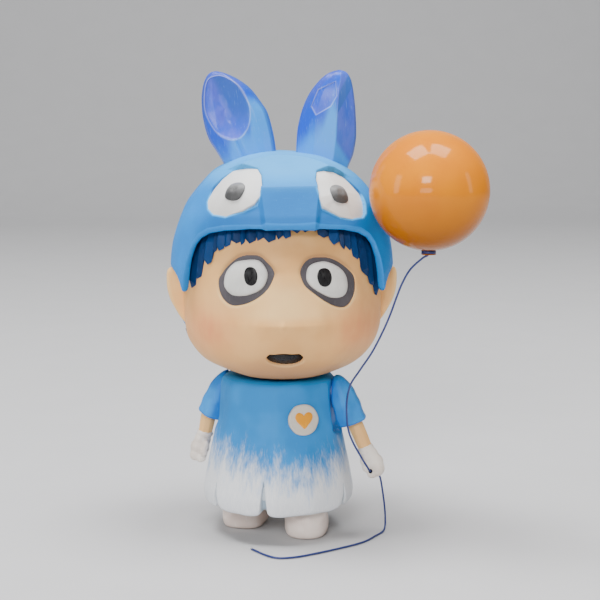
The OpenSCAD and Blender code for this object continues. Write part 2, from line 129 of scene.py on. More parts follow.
def make_camera():
    target = turned([CAMERA_SIDE, 0, CAMERA_TARGET_Z], CAMERA_YAW)
    back = [0, -CAMERA_AWAY * math.cos(CAMERA_LOW), CAMERA_AWAY * math.sin(CAMERA_LOW)]
    camera = bpy.data.objects.new("camera", bpy.data.cameras.new("camera"))
    bpy.context.scene.collection.objects.link(camera)
    camera.data.sensor_width = 36
    camera.data.lens = 90
    camera.data.clip_end = 20
    camera.location = place(target + turned(back, CAMERA_YAW))
    camera.rotation_euler = (math.pi / 2 - CAMERA_LOW, 0, CAMERA_YAW)
    bpy.context.scene.camera = camera


make_camera()


# ---------------------------------------------------------------- materials

class Look:
    """A principled material with short calls for its nodes. Lengths in its noises are millimetres."""

    def __init__(self, name, roughness=0.5, coat=0.0, coat_roughness=0.1, specular=0.5):
        self.material = bpy.data.materials.new(name)
        self.material.use_nodes = True
        self.tree = self.material.node_tree
        self.shader = self.tree.nodes["Principled BSDF"]
        self.shader.inputs["Roughness"].default_value = roughness
        self.shader.inputs["Coat Weight"].default_value = coat
        self.shader.inputs["Coat Roughness"].default_value = coat_roughness
        self.shader.inputs["Specular IOR Level"].default_value = specular
        self.place = self.tree.nodes.new("ShaderNodeTexCoord").outputs["Object"]

    def node(self, kind, **values):
        made = self.tree.nodes.new(kind)
        for key, value in values.items():
            setattr(made, key, value)
        return made

    def link(self, source, target):
        if isinstance(source, bpy.types.NodeSocket):
            self.tree.links.new(source, target)
        elif isinstance(source, tuple) and len(source) == 3:
            target.default_value = (*source, 1)
        else:
            target.default_value = source

    def noise(self, size, stretch=(1, 1, 1), detail=3, shift=0.0, roughness=0.5):
        mapping = self.node("ShaderNodeMapping")
        mapping.inputs["Location"].default_value = (shift, shift * 0.7, shift * 1.3)
        mapping.inputs["Scale"].default_value = tuple(1 / (size * MM * s) for s in stretch)
        self.link(self.place, mapping.inputs["Vector"])
        made = self.node("ShaderNodeTexNoise")
        made.inputs["Scale"].default_value = 1.0
        made.inputs["Detail"].default_value = detail
        made.inputs["Roughness"].default_value = roughness
        self.link(mapping.outputs[0], made.inputs["Vector"])
        return made.outputs[0]

    def mask(self, name):
        return self.node("ShaderNodeAttribute", attribute_name=name).outputs["Fac"]

    def sum(self, a, b, operation="ADD", clamp=False):
        made = self.node("ShaderNodeMath", operation=operation, use_clamp=clamp)
        self.link(a, made.inputs[0])
        self.link(b, made.inputs[1])
        return made.outputs[0]

    def remap(self, value, low, high, to_low=0.0, to_high=1.0):
        made = self.node("ShaderNodeMapRange", interpolation_type="SMOOTHSTEP")
        for i, source in enumerate([value, low, high, to_low, to_high]):
            self.link(source, made.inputs[i])
        return made.outputs[0]

    def mix(self, amount, a, b):
        made = self.node("ShaderNodeMix", data_type="RGBA")
        self.link(amount, made.inputs["Factor"])
        self.link(a, made.inputs[6])
        self.link(b, made.inputs[7])
        return made.outputs[2]

    def bump(self, height, depth):
        made = self.node("ShaderNodeBump")
        made.inputs["Strength"].default_value = 1.0
        made.inputs["Distance"].default_value = depth * MM
        self.link(height, made.inputs["Height"])
        self.link(made.outputs[0], self.shader.inputs["Normal"])

    def finish(self, colour, roughness=None):
        self.link(colour, self.shader.inputs["Base Color"])
        if roughness is not None:
            self.link(roughness, self.shader.inputs["Roughness"])
        return self.material


def painted(name, colour, dark, light, roughness=0.5, streak=(1, 1, 7), strength=0.5, depth=0.05):
    """Brushed satin paint: slow colour drift, fine strokes and specks along one way."""
    look = Look(name, roughness, specular=0.2)
    drift = look.remap(look.noise(16, detail=2), 0.35, 0.65)
    strokes = look.noise(0.8, streak, detail=4, shift=3)
    base = look.mix(look.sum(drift, 0.5, "MULTIPLY"), colour, dark)
    base = look.mix(look.sum(look.remap(strokes, 0.55, 0.8), strength, "MULTIPLY"), base, light)
    # Painted shade from the shade mask, then painted highlights from the second mask; a few pieces use that second mask
    # for a plain lighter tint instead.
    base = look.mix(look.mask("shade"), base, dark)
    base = look.mix(look.mask("edge"), base, light)
    look.bump(look.sum(strokes, look.noise(0.35, detail=2, shift=9), "ADD"), depth)
    rough = look.remap(strokes, 0.3, 0.7, roughness - 0.06, roughness + 0.08)
    return look.finish(base, rough)


def hood_paint():
    look = Look("hood_paint", 0.5, specular=0.15)
    drift = look.remap(look.noise(18, detail=2), 0.35, 0.65)
    strokes = look.noise(0.7, (6, 1.5, 1), detail=4, shift=3)
    scratches = look.noise(0.5, (1, 2, 11), detail=3, shift=21)
    base = look.mix(drift, (0.010, 0.23, 0.68), (0.012, 0.265, 0.76))
    base = look.mix(look.sum(look.remap(strokes, 0.56, 0.8), 0.35, "MULTIPLY"), base, (0.06, 0.38, 0.86))
    base = look.mix(look.sum(look.remap(scratches, 0.66, 0.78), 0.45, "MULTIPLY"), base, (0.14, 0.50, 0.93))
    # Painted shade, then painted highlights on the top and on the lower socket rims.
    base = look.mix(look.mask("shade"), base, (0.004, 0.055, 0.22))
    base = look.mix(look.mask("edge"), base, (0.09, 0.50, 0.97))
    look.bump(look.sum(strokes, look.noise(0.3, detail=2, shift=9), "ADD"), 0.05)
    return look.finish(base, look.remap(strokes, 0.3, 0.7, 0.44, 0.58))


def ear_paint():
    """Light blue at the base, royal blue above and periwinkle where the mask says."""
    look = Look("ear_paint", 0.36, coat=0.2, coat_roughness=0.2, specular=0.15)
    wave = look.sum(look.noise(7, (1, 1, 2), detail=3), 0.35, "MULTIPLY")
    level = look.sum(look.mask("level"), wave, "ADD")
    base = look.mix(look.remap(level, 0.3, 0.72), (0.035, 0.33, 0.90), (0.008, 0.08, 0.66))
    base = look.mix(look.remap(level, 0.9, 1.2), base, (0.04, 0.08, 0.55))
    lilac = look.mix(look.remap(look.noise(5, (1, 1, 2)), 0.35, 0.65), (0.10, 0.14, 0.74), (0.04, 0.11, 0.70))
    base = look.mix(look.mask("lilac"), base, lilac)
    # Painted shade in the recess creases and on the outer sides.
    base = look.mix(look.mask("shade"), base, (0.03, 0.12, 0.50))
    strokes = look.noise(0.6, (1, 1, 9), detail=3, shift=5)
    base = look.mix(look.sum(look.remap(strokes, 0.58, 0.8), 0.3, "MULTIPLY"), base, (0.30, 0.55, 0.92))
    # Painted highlights along the recess rims and facet edges.
    base = look.mix(look.mask("edge"), base, (0.55, 0.62, 0.90))
    look.bump(strokes, 0.03)
    return look.finish(base, look.remap(strokes, 0.3, 0.7, 0.3, 0.42))


def skin_paint():
    look = Look("skin_paint", 0.48, specular=0.2)
    drift = look.remap(look.noise(14, detail=2), 0.35, 0.65)
    strokes = look.noise(0.8, (1, 1, 12), detail=4, shift=3)
    base = look.mix(drift, (0.90, 0.47, 0.16), (0.95, 0.53, 0.19))
    base = look.mix(look.sum(look.remap(strokes, 0.55, 0.75), 0.22, "MULTIPLY"), base, (0.95, 0.57, 0.24))
    rosy = look.sum(look.mask("blush"), look.remap(look.noise(3, (1, 1, 4), shift=8), 0.2, 0.8, 0.7, 1.1), "MULTIPLY")
    base = look.mix(look.sum(rosy, 0.45, "MULTIPLY"), base, (0.86, 0.19, 0.10))
    # Painted shade on the chin, under the brim and round the eyes, then painted light on the muzzle and lower eye rims.
    base = look.mix(look.mask("shade"), base, (0.40, 0.20, 0.09))
    base = look.mix(look.mask("edge"), base, (0.99, 0.68, 0.31))
    look.bump(look.sum(strokes, look.noise(0.4, detail=2, shift=9), "ADD"), 0.04)
    return look.finish(base, look.remap(strokes, 0.3, 0.7, 0.42, 0.54))


def tunic_paint():
    """Blue above, white below, with ragged upright brush strokes where they meet."""
    look = Look("tunic_paint", 0.52, specular=0.15)
    drift = look.remap(look.noise(16, detail=2), 0.35, 0.65)
    strokes = look.noise(1.1, (1, 1, 14), detail=4, shift=3, roughness=0.62)
    fine = look.noise(0.45, (1, 1, 18), detail=3, shift=11)
    blue = look.mix(drift, (0.016, 0.235, 0.62), (0.024, 0.275, 0.70))
    blue = look.mix(look.sum(look.remap(fine, 0.6, 0.8), 0.25, "MULTIPLY"), blue, (0.06, 0.36, 0.84))
    white = look.mix(look.remap(fine, 0.45, 0.75), (0.78, 0.80, 0.83), (0.88, 0.89, 0.90))
    ragged = look.sum(look.mask("fade"), look.remap(strokes, 0.25, 0.75, -4.5, 4.5))
    ragged = look.sum(ragged, look.remap(fine, 0.25, 0.75, -2.2, 2.2))
    ragged = look.sum(ragged, look.remap(look.noise(5, (1, 1, 2.5), shift=14), 0.3, 0.7, -4, 4))
    amount = look.remap(ragged, -15, 9)
    base = look.mix(amount, white, blue)
    base = look.mix(look.mask("shade"), base, (0.26, 0.36, 0.45))
    scuff = look.sum(look.remap(look.noise(0.7, (2.5, 2.5, 1), detail=3, shift=31), 0.68, 0.74), look.mask("scuff"), "MULTIPLY")
    base = look.mix(scuff, base, (0.10, 0.10, 0.12))
    look.bump(look.sum(strokes, fine, "ADD"), 0.05)
    return look.finish(base, look.remap(strokes, 0.3, 0.7, 0.46, 0.6))


def balloon_paint():
    look = Look("balloon_gloss", 0.35, coat=0.3, coat_roughness=0.04, specular=0.05)
    drift = look.remap(look.noise(20, detail=2), 0.3, 0.7)
    base = look.mix(drift, (0.74, 0.215, 0.0), (0.80, 0.25, 0.0))
    # Painted shade: the lower part of the ball is darker.
    base = look.mix(look.mask("low"), base, (0.24, 0.065, 0.0))
    specks = look.noise(0.5, detail=2, shift=4)
    base = look.mix(look.sum(look.remap(specks, 0.7, 0.8), 0.12, "MULTIPLY"), base, (1.0, 0.42, 0.0))
    look.bump(look.noise(9, detail=1), 0.05)
    return look.finish(base, look.remap(specks, 0.3, 0.7, 0.2, 0.26))


def string_look(name, colour, light):
    """Round twisted cord with a faint sheen; the lighter blue mixed in along the twist is painted highlight."""
    look = Look(name, 0.32, coat=0.4, coat_roughness=0.2)
    wave = look.node("ShaderNodeTexWave", bands_direction="DIAGONAL")
    wave.inputs["Scale"].default_value = 1.4 / MM
    wave.inputs["Distortion"].default_value = 0.6
    look.link(look.place, wave.inputs["Vector"])
    twist = wave.outputs["Fac"]
    look.bump(twist, 0.06)
    return look.finish(look.mix(look.sum(twist, 0.4, "MULTIPLY"), colour, light))


MATERIALS = {
    "hood": hood_paint(),
    "hood_ears": ear_paint(),
    "skin": skin_paint(),
    "tunic": tunic_paint(),
    "sleeves": painted("sleeve_paint", (0.03, 0.31, 0.80), (0.004, 0.10, 0.52), (0.07, 0.38, 0.86)),
    "hair": painted("hair_paint", (0.0008, 0.028, 0.11), (0.0008, 0.012, 0.05), (0.004, 0.07, 0.25), 0.46, (1, 1, 9)),
    "gloves": painted("glove_paint", (0.95, 0.87, 0.78), (0.52, 0.42, 0.36), (0.97, 0.92, 0.86), depth=0.03),
    "feet": painted("foot_paint", (0.97, 0.84, 0.76), (0.62, 0.47, 0.40), (0.99, 0.92, 0.86), depth=0.03),
    "eye_white": painted("eye_white_paint", (0.76, 0.75, 0.71), (0.52, 0.51, 0.48), (0.86, 0.85, 0.82), 0.3, (1, 1, 3)),
    "hood_eye_white": painted("hood_eye_paint", (0.78, 0.77, 0.75), (0.6, 0.58, 0.55), (0.9, 0.89, 0.87), 0.42, (1, 1, 3)),
    "eye_rim": painted("rim_paint", (0.105, 0.095, 0.105), (0.05, 0.045, 0.05), (0.17, 0.16, 0.17), 0.5, (1, 1, 4)),
    "hood_pupil": painted("hood_pupil_paint", (0.14, 0.14, 0.14), (0.05, 0.05, 0.05), (0.30, 0.30, 0.30), 0.34, (1, 1, 2)),
    "dark_paint": painted("dark_paint", (0.014, 0.013, 0.014), (0.006, 0.006, 0.007), (0.05, 0.05, 0.05), 0.3, (1, 1, 3)),
    "badge": painted("badge_paint", (0.66, 0.62, 0.55), (0.46, 0.41, 0.33), (0.78, 0.75, 0.70), 0.45, (1, 1, 3)),
    "emblem": painted("emblem_paint", (0.85, 0.34, 0.015), (0.6, 0.2, 0.01), (0.95, 0.5, 0.06), 0.4, (1, 1, 4)),
    "balloon": balloon_paint(),
    "string": string_look("string_wire", (0.004, 0.010, 0.10), (0.02, 0.08, 0.45)),
    "string_tip": painted("string_tip_paint", (0.5, 0.5, 0.52), (0.3, 0.3, 0.32), (0.7, 0.7, 0.7), 0.4),
    "inner_plastic": painted("inner_plastic", (0.62, 0.62, 0.60), (0.45, 0.45, 0.44), (0.75, 0.75, 0.74), 0.4),
}


# ---------------------------------------------------------------- mesh helpers

def add_piece(name, points, faces, material, body, nodes=(), slot=None, masks=None, flat=False):
    """A mesh piece from points in millimetres about the figure's axis. It stands for the CAD nodes named."""
    mesh = bpy.data.meshes.new(name)
    mesh.from_pydata(place(points).tolist(), [], [list(map(int, f)) for f in faces])
    mesh.polygons.foreach_set("use_smooth", [not flat] * len(mesh.polygons))
    for key, values in (masks or {}).items():
        mesh.attributes.new(key, "FLOAT", "POINT").data.foreach_set("value", np.asarray(values, np.float32).ravel())
    mesh.validate()
    check = bmesh.new()
    check.from_mesh(mesh)
    bmesh.ops.recalc_face_normals(check, faces=check.faces)
    check.to_mesh(mesh)
    check.free()
    piece = bpy.data.objects.new(name, mesh)
    bpy.context.scene.collection.objects.link(piece)
    mesh.materials.append(MATERIALS[material])
    if nodes:
        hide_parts(*nodes)
    if body:
        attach(piece, body)
    return piece


def grid_faces(rows, columns, loop_rows=False):
    """Quads of a grid whose columns wrap round."""
    last = rows if loop_rows else rows - 1
    i, j = np.meshgrid(np.arange(last), np.arange(columns), indexing="ij")
    k, n = (j + 1) % columns, (i + 1) % rows
    return np.stack([i * columns + j, i * columns + k, n * columns + k, n * columns + j], -1).reshape(-1, 4)


def capped(grid, masks=None):
    """Points, faces and masks of a grid of rings, closed at both ends by a fan."""
    rows, columns = grid.shape[:2]
    points = np.concatenate([grid.reshape(-1, 3), [grid[0].mean(0)], [grid[-1].mean(0)]])
    start, end = rows * columns, rows * columns + 1
    faces = grid_faces(rows, columns).tolist()
    for j in range(columns):
        k = (j + 1) % columns
        faces.append([start, k, j])
        faces.append([end, (rows - 1) * columns + j, (rows - 1) * columns + k])
    closed = {}
    for key, values in (masks or {}).items():
        closed[key] = np.concatenate([values.ravel(), [values[0].mean()], [values[-1].mean()]])
    return points, faces, closed


def superblob(d, r, up, down, power_up, power_down):
    """Distance to an upright rounded body along unit directions d from its widest level."""
    high = d[..., 2] > 0
    power = np.where(high, power_up, power_down)
    reach = np.where(high, up, down)
    return ((np.hypot(d[..., 0], d[..., 1]) / r) ** power + (np.abs(d[..., 2]) / reach) ** power) ** (-1 / power)


def smooth_min(a, b, blend):
    h = np.clip(0.5 + 0.5 * (b - a) / blend, 0, 1)
    return b * (1 - h) + a * h - blend * h * (1 - h)


def smooth_max(a, b, blend):
    return -smooth_min(-a, -b, blend)


def step(value, low, high):
    """0 below low, 1 above high and smooth between."""
    t = np.clip((value - low) / (high - low), 0, 1)
    return t * t * (3 - 2 * t)


def bell(value, width):
    return np.exp(-((value / width) ** 2))


def directions(azimuth, elevation):
    """Unit directions; azimuth 0 faces -Y and grows towards +X."""
    return np.stack(
        [np.sin(azimuth) * np.cos(elevation), -np.cos(azimuth) * np.cos(elevation), np.sin(elevation)], -1
    )


def spread_directions(count, seed):
    """Directions spread over the sphere, each moved a little at random."""
    random = np.random.default_rng(seed)
    i = np.arange(count) + 0.5
    up = 1 - 2 * i / count
    around = np.pi * (1 + 5 ** 0.5) * i
    ring = np.sqrt(1 - up * up)
    d = np.stack([ring * np.cos(around), ring * np.sin(around), up], -1) + random.normal(0, 0.12, (count, 3))
    return d / np.linalg.norm(d, axis=1)[:, None]


def plane_reach(d, normal, offset):
    """Distance along d to the plane where a point times the normal is offset."""
    facing = d @ normal
    return np.where(facing > 0.05, offset / np.maximum(facing, 0.05), 1e3)


class Facets:
    """Flat cuts a little below a rounded body's surface, as a knife leaves them."""

    def __init__(self, body, count, seed, depth, blend):
        az, el = np.meshgrid(np.linspace(-np.pi, np.pi, 180), np.linspace(-1.5, 1.5, 90))
        d = directions(az, el).reshape(-1, 3)
        surface = d * body(d)[:, None]
        self.normals = spread_directions(count, seed)
        self.offsets = (surface @ self.normals.T).max(0) - depth
        self.blend = blend

    def cut(self, d, reach):
        for normal, offset in zip(self.normals, self.offsets):
            reach = smooth_min(reach, plane_reach(d, normal, offset), self.blend)
        return reach


def local_axes(yaw, tilt):
    """Columns across, up and out of a face that looks along -Y turned by yaw and tipped up by tilt."""
    y, t = math.radians(yaw), math.radians(tilt)
    out = np.array([math.sin(y) * math.cos(t), -math.cos(y) * math.cos(t), math.sin(t)])
    across = np.array([math.cos(y), math.sin(y), 0])
    return np.stack([across, np.cross(out, across), out], -1)


def closed_curve(points, samples=240):
    """Smooth closed curve through a few points."""
    p = np.asarray(points, float)
    n = len(p)
    t = np.linspace(0, n, samples, endpoint=False)
    i, u = np.floor(t).astype(int), (t % 1)[:, None]
    a, b, c, d = p[(i - 1) % n], p[i % n], p[(i + 1) % n], p[(i + 2) % n]
    return 0.5 * (2 * b + (c - a) * u + (2 * a - 5 * b + 4 * c - d) * u ** 2 + (3 * b - a - 3 * c + d) * u ** 3)


class Outline:
    """Radius of a closed outline by its angle round a middle point."""

    def __init__(self, points, smooth=True, middle=(0, 0)):
        self.middle = np.asarray(middle, float)
        if smooth:
            curve = closed_curve(points)
        else:
            p = np.asarray(points, float)
            share = np.linspace(0, 1, 24, endpoint=False)[None, :, None]
            curve = (p[:, None] * (1 - share) + np.roll(p, -1, 0)[:, None] * share).reshape(-1, 2)
        q = curve - self.middle
        angle = np.arctan2(q[:, 1], q[:, 0])
        order = np.argsort(angle)
        self.angle, self.reach = angle[order], np.hypot(*q[order].T)

    def radius(self, angle):
        return np.interp(angle, self.angle, self.reach, period=2 * np.pi)

    def outside(self, u, v):
        """About how far a point lies outside the outline, in millimetres; negative inside."""
        u, v = u - self.middle[0], v - self.middle[1]
        return np.hypot(u, v) - self.radius(np.arctan2(v, u))


class Seat:
    """A place on a rounded body: its origin, its axes and the body's surface."""

    def __init__(self, origin, axes, centre=None, reach=None):
        self.origin, self.axes, self.centre, self.reach = np.asarray(origin, float), axes, centre, reach

    def local(self, points):
        q = (points - self.origin) @ self.axes
        return q[..., 0], q[..., 1], q[..., 2]

    def lift(self, u, v):
        """Points above (u, v) on the body's surface."""
        flat = self.origin + u[..., None] * self.axes[:, 0] + v[..., None] * self.axes[:, 1]
        out = self.axes[:, 2]
        if self.reach is None:
            return flat
        high = np.zeros(u.shape)
        for _ in range(14):
            q = flat + high[..., None] * out - self.centre
            far = np.linalg.norm(q, axis=-1)
            d = q / far[..., None]
            high = high - (far - self.reach(d)) / np.clip(d @ out, 0.3, 1)
        return flat + high[..., None] * out


def plug(name, seat, outline, rise, depth, material, body, nodes=(), rings=26, spokes=180, masks=None, flat=False, slot=None):
    """Closed plug over an outline: rise(share, u, v) is its height over the seat's surface."""
    angle = np.linspace(0, 2 * np.pi, spokes, endpoint=False)
    share = np.sin(np.linspace(0.03, np.pi / 2, rings))[:, None] * np.ones(spokes)
    u = share * outline.radius(angle) * np.cos(angle) + outline.middle[0]
    v = share * outline.radius(angle) * np.sin(angle) + outline.middle[1]
    base = seat.lift(u, v)
    out = seat.axes[:, 2]
    top = base + rise(share, u, v)[..., None] * out
    bottom = base[-1:] - depth * out
    grid = np.concatenate([top, bottom])
    values = {key: np.concatenate([m(share, u, v), m(share, u, v)[-1:]]) for key, m in (masks or {}).items()}
    return add_piece(name, *capped(grid, values)[:2], material, body, nodes, slot, capped(grid, values)[2], flat)


def ring_plug(name, seat, outer, inner, rise, depth, material, body, nodes=(), rings=14, spokes=200):
    """Closed ring between two outlines that share a middle."""
    angle = np.linspace(0, 2 * np.pi, spokes, endpoint=False)
    share = np.linspace(0, 1, rings)[:, None]
    radius = inner.radius(angle) * (1 - share) + outer.radius(angle) * share
    u, v = radius * np.cos(angle), radius * np.sin(angle)
    base = seat.lift(u, v)
    out = seat.axes[:, 2]
    top = base + rise(share * np.ones(spokes), u, v)[..., None] * out
    grid = np.concatenate([base[:1] - depth * out, top, base[-1:] - depth * out])
    points = grid.reshape(-1, 3)
    return add_piece(name, points, grid_faces(len(grid), spokes, loop_rows=True), material, body, nodes)


# ---------------------------------------------------------------- string

STRING_ROUTE = [
    (68.4, -38, 145.2), (67.9, -37.9, 143.4), (65.6, -37.5, 142), (60, -36.6, 136.6), (56.3, -36, 130),
    (53.6, -35.6, 123), (50.8, -35.5, 115), (47.3, -35, 106.5), (42.2, -33.6, 96), (36.3, -31.6, 86.5),
    (32.2, -30.1, 79.5), (30.6, -29, 71.5), (30.6, -28, 63), (31.6, -26.5, 56), (34, -25, 49.5),
    (38, -23.5, 42), (41.5, -21.8, 36), (43.2, -19.4, 33.4), (47.2, -12.4, 30.7),
]
TAIL_ROUTE = [
    (47.4, -12.1, 30.5), (49, -10.2, 27.5), (50.2, -9.6, 21), (51.3, -9.4, 13), (51.8, -9.3, 6),
    (51.5, -10.4, 1.9), (50, -14, 0.6), (46, -20.5, 0.6), (38.5, -31, 0.6), (25, -41, 0.6),
    (11, -49.5, 0.6), (3, -53, 0.6), (-4, -53.5, 0.6), (-9.5, -49, 0.6), (-16, -39.5, 0.6),
]


def smooth_route(route, per_span=10):
    """Points of the smooth curve through a route."""
    p = np.asarray(route, float)
    p = np.concatenate([[2 * p[0] - p[1]], p, [2 * p[-1] - p[-2]]])
    made = []
    for a, b, c, d in zip(p[:-3], p[1:-2], p[2:-1], p[3:]):
        for u in np.arange(per_span) / per_span:
            made.append(
                0.5 * (2 * b + (c - a) * u + (2 * a - 5 * b + 4 * c - d) * u ** 2 + (3 * b - a - 3 * c + d) * u ** 3)
            )
    return np.array([*made, route[-1]])


def tube(path, radius, sides=14):
    """Rings of a round tube along a path."""
    path = np.asarray(path, float)
    along = np.gradient(path, axis=0)
    along /= np.linalg.norm(along, axis=1)[:, None]
    across = np.cross(along, [0.31, 0.94, 0.12])
    across /= np.linalg.norm(across, axis=1)[:, None]
    up = np.cross(along, across)
    angle = np.linspace(0, 2 * np.pi, sides, endpoint=False)
    return path[:, None] + radius * (np.cos(angle)[None, :, None] * across[:, None] + np.sin(angle)[None, :, None] * up[:, None])


def route_length(path):
    return float(np.linalg.norm(np.diff(path, axis=0), axis=1).sum())


def make_string():
    upper = smooth_route(STRING_ROUTE)
    curve = bpy.data.curves.new("string_upper", "CURVE")
    curve.dimensions = "3D"
    curve.bevel_depth = STRING_D / 2 * MM
    curve.bevel_resolution = 4
    curve.use_fill_caps = True
    spline = curve.splines.new("POLY")
    spline.points.add(len(upper) - 1)
    for point, where in zip(spline.points, place(upper)):
        point.co = (*where, 1)
    curve.materials.append(MATERIALS["string"])
    cord = bpy.data.objects.new("string_upper", curve)
    bpy.context.scene.collection.objects.link(cord)
    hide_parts("balloon_string")
    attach(cord, "arm_left")

    turns = 2.6
    angle = np.linspace(0, 2 * np.pi * turns, 90)
    wrap_r = 2.6 + STRING_D / 2
    middle = BALLOON_CENTRE - [0, 0, BALLOON_R + 0.6]
    helix = np.stack([wrap_r * np.cos(angle), wrap_r * np.sin(angle), 0.75 - angle / angle[-1] * 1.3], -1)
    wrap = add_piece("string_turns", *capped(tube(middle + helix, STRING_D * 0.42))[:2], "string", "arm_left", ["string_wrap"])
    route_length(upper) * MM

    lower = smooth_route(TAIL_ROUTE)
    tail = add_piece("string_tail_end", *capped(tube(lower, STRING_D / 2))[:2], "string", None, ["string_tail"])
    knot_at = lower[-1] + [-0.3, 0.5, 0.15]
    d = directions(*np.meshgrid(np.linspace(-np.pi, np.pi, 24, endpoint=False), np.linspace(-1.5, 1.5, 12)))
    lumps = 0.62 * (1 + 0.16 * np.sin(3 * np.arctan2(d[..., 0], d[..., 1]) + 4 * d[..., 2]))
    knot = add_piece("string_knot", *capped(knot_at + d * lumps[..., None])[:2], "string_tip", "body", ["string_end_knot"])
    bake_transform(tail)
    route_length(lower) * MM


def make_string_hole():
    """A dark ring round the string where it goes into the left hand: painted shadow in the mouth of the hole."""
    entry, inside = np.array(STRING_ROUTE[-2]), np.array(STRING_ROUTE[-1])
    along = (inside - entry) / np.linalg.norm(inside - entry)
    side = np.cross(along, [0, 0, 1])
    side /= np.linalg.norm(side)
    up = np.cross(side, along)
    lip = [entry + 0.78 * (math.cos(a) * side + math.sin(a) * up) for a in np.linspace(0, 2 * np.pi, 30)]
    add_piece("string_hole_shadow", *capped(tube(np.array(lip), 0.3))[:2], "dark_paint", "arm_left", slot="string")


make_string()
make_string_hole()


# ---------------------------------------------------------------- head

RIM_RIGHT = Outline([
    (-13.9, -0.7), (-13.3, -5.2), (-10.9, -9.5), (-6.2, -12.2), (0.1, -11.4), (6.3, -8.5), (11.5, -3.9),
    (14.3, 2.1), (13.7, 5.7), (11, 8.6), (7, 11.5), (1.5, 11.9), (-4, 10.3), (-8.9, 6.4), (-12.2, 2.4),
])
RIM_LEFT = Outline([
    (-12.3, 4.2), (-10.1, 8.5), (-6.1, 10.6), (1.2, 10.4), (7.1, 8.3), (12.8, 4.3), (16.5, 0.1), (16.7, -6),
    (14.6, -10.3), (11.1, -13.3), (6.2, -13.3), (0.1, -10.5), (-6.3, -6), (-10.7, -1.8),
])
WHITE_RIGHT = Outline([
    (-10.8, -1.6), (-9.6, 3.3), (-5.5, 7.7), (0.1, 9.2), (5.6, 9.4), (8.8, 7.5), (10.8, 4.2), (11, 0.9),
    (9.2, -3.2), (5.5, -5.9), (0, -7.6), (-5.8, -7.6), (-9.7, -4.9),
])
WHITE_LEFT = Outline([
    (-9.3, 2.6), (-8, 6.3), (-4.2, 8.1), (1, 8.2), (6.9, 5.8), (10.9, 2.2), (12.4, -2.5), (11.3, -7.2),
    (8, -9), (2.8, -8.8), (-2.2, -6.6), (-6.9, -3.4), (-9.1, -0.4),
])
PUPIL = [(-3.9, 0.5), (-2.9, 3.6), (-0.4, 4.5), (2.3, 3.6), (3.7, 0.4), (2.9, -2.9), (0.3, -4.3), (-2.7, -3.1)]
PUPIL_RIGHT = Outline([(0.9 * u + 3.5, v + 1.8) for u, v in PUPIL], middle=(3.5, 1.8))
PUPIL_LEFT = Outline([(u - 0.9, v + 1.1) for u, v in PUPIL], middle=(-0.9, 1.1))
MOUTH = Outline([
    (-8.9, 0.3), (-8.3, 1.6), (-7.2, 2.5), (-5, 2.75), (0, 2.8), (4, 2.75), (6.6, 2.6), (7.9, 1.7), (8.9, 0.3),
    (7.8, -1.7), (4.4, -3.1), (0.4, -3.5), (-3.6, -3.1), (-7.4, -1.6),
])


def head_base(d):
    return superblob(d, HEAD_R, CROWN_RISE, CHIN_DROP, 2.3, 2.4)


HEAD_FACETS = Facets(head_base, 34, 5, 0.42, 1.6)


def head_reach(d):
    """The head's surface with its soft planes, muzzle and brow, but no eye sockets."""
    reach = HEAD_FACETS.cut(d, head_base(d) + 0.25)
    p = d * reach[..., None]
    x, z = p[..., 0], p[..., 2] + HEAD_MID
    front = step(-p[..., 1], 10, 30)
    across = np.clip(1 - (np.abs(x - 3.2) - 11) / (8 + 0.35 * np.clip(HEAD_MID + 2 - z, 0, 20)), 0, 1)
    ridge = np.minimum((z - (HEAD_MID - 16)) / 14.5, (HEAD_MID + 17 - z) / 18.5)
    muzzle = 2.5 * smooth_max(ridge, np.zeros_like(ridge), 0.2) * across * across * (3 - 2 * across)
    nose = 0.75 * bell(np.hypot(x + 1.2, (z - HEAD_MID + 1.6) * 0.8), 1.3)
    crease = -0.75 * bell(z - HEAD_MID - 23.6 + 0.004 * x * x, 1.7) * bell(x - 1, 7.5)
    brow = 0.7 * bell(z - HEAD_MID - 29, 5) * bell(x - 1, 13)
    around_eyes = 0
    for side in (-1, 1):
        around_eyes = around_eyes - 1.1 * bell(np.hypot(x - side * EYE_X, z - EYE_Z + 0.5), 15)
    return reach + front * (muzzle + nose + crease + brow + around_eyes)


def eye_seat(side):
    y = math.sqrt(46.5 ** 2 - EYE_X ** 2)
    return Seat([side * EYE_X, -y, EYE_Z], local_axes(side * EYE_YAW, 0), HEAD_CENTRE, head_reach)


MOUTH_SEAT = Seat([0, -45, MOUTH_Z], local_axes(0, 0), HEAD_CENTRE, head_reach)
EYES = {
    "right": (eye_seat(-1), RIM_RIGHT, WHITE_RIGHT, PUPIL_RIGHT),
    "left": (eye_seat(1), RIM_LEFT, WHITE_LEFT, PUPIL_LEFT),
}


def uneven(knots, counts):
    """Values from knot to knot, with a given number of steps in each stretch."""
    made = [np.linspace(a, b, n, endpoint=False) for a, b, n in zip(knots[:-1], knots[1:], counts)]
    return np.concatenate([*made, [knots[-1]]])


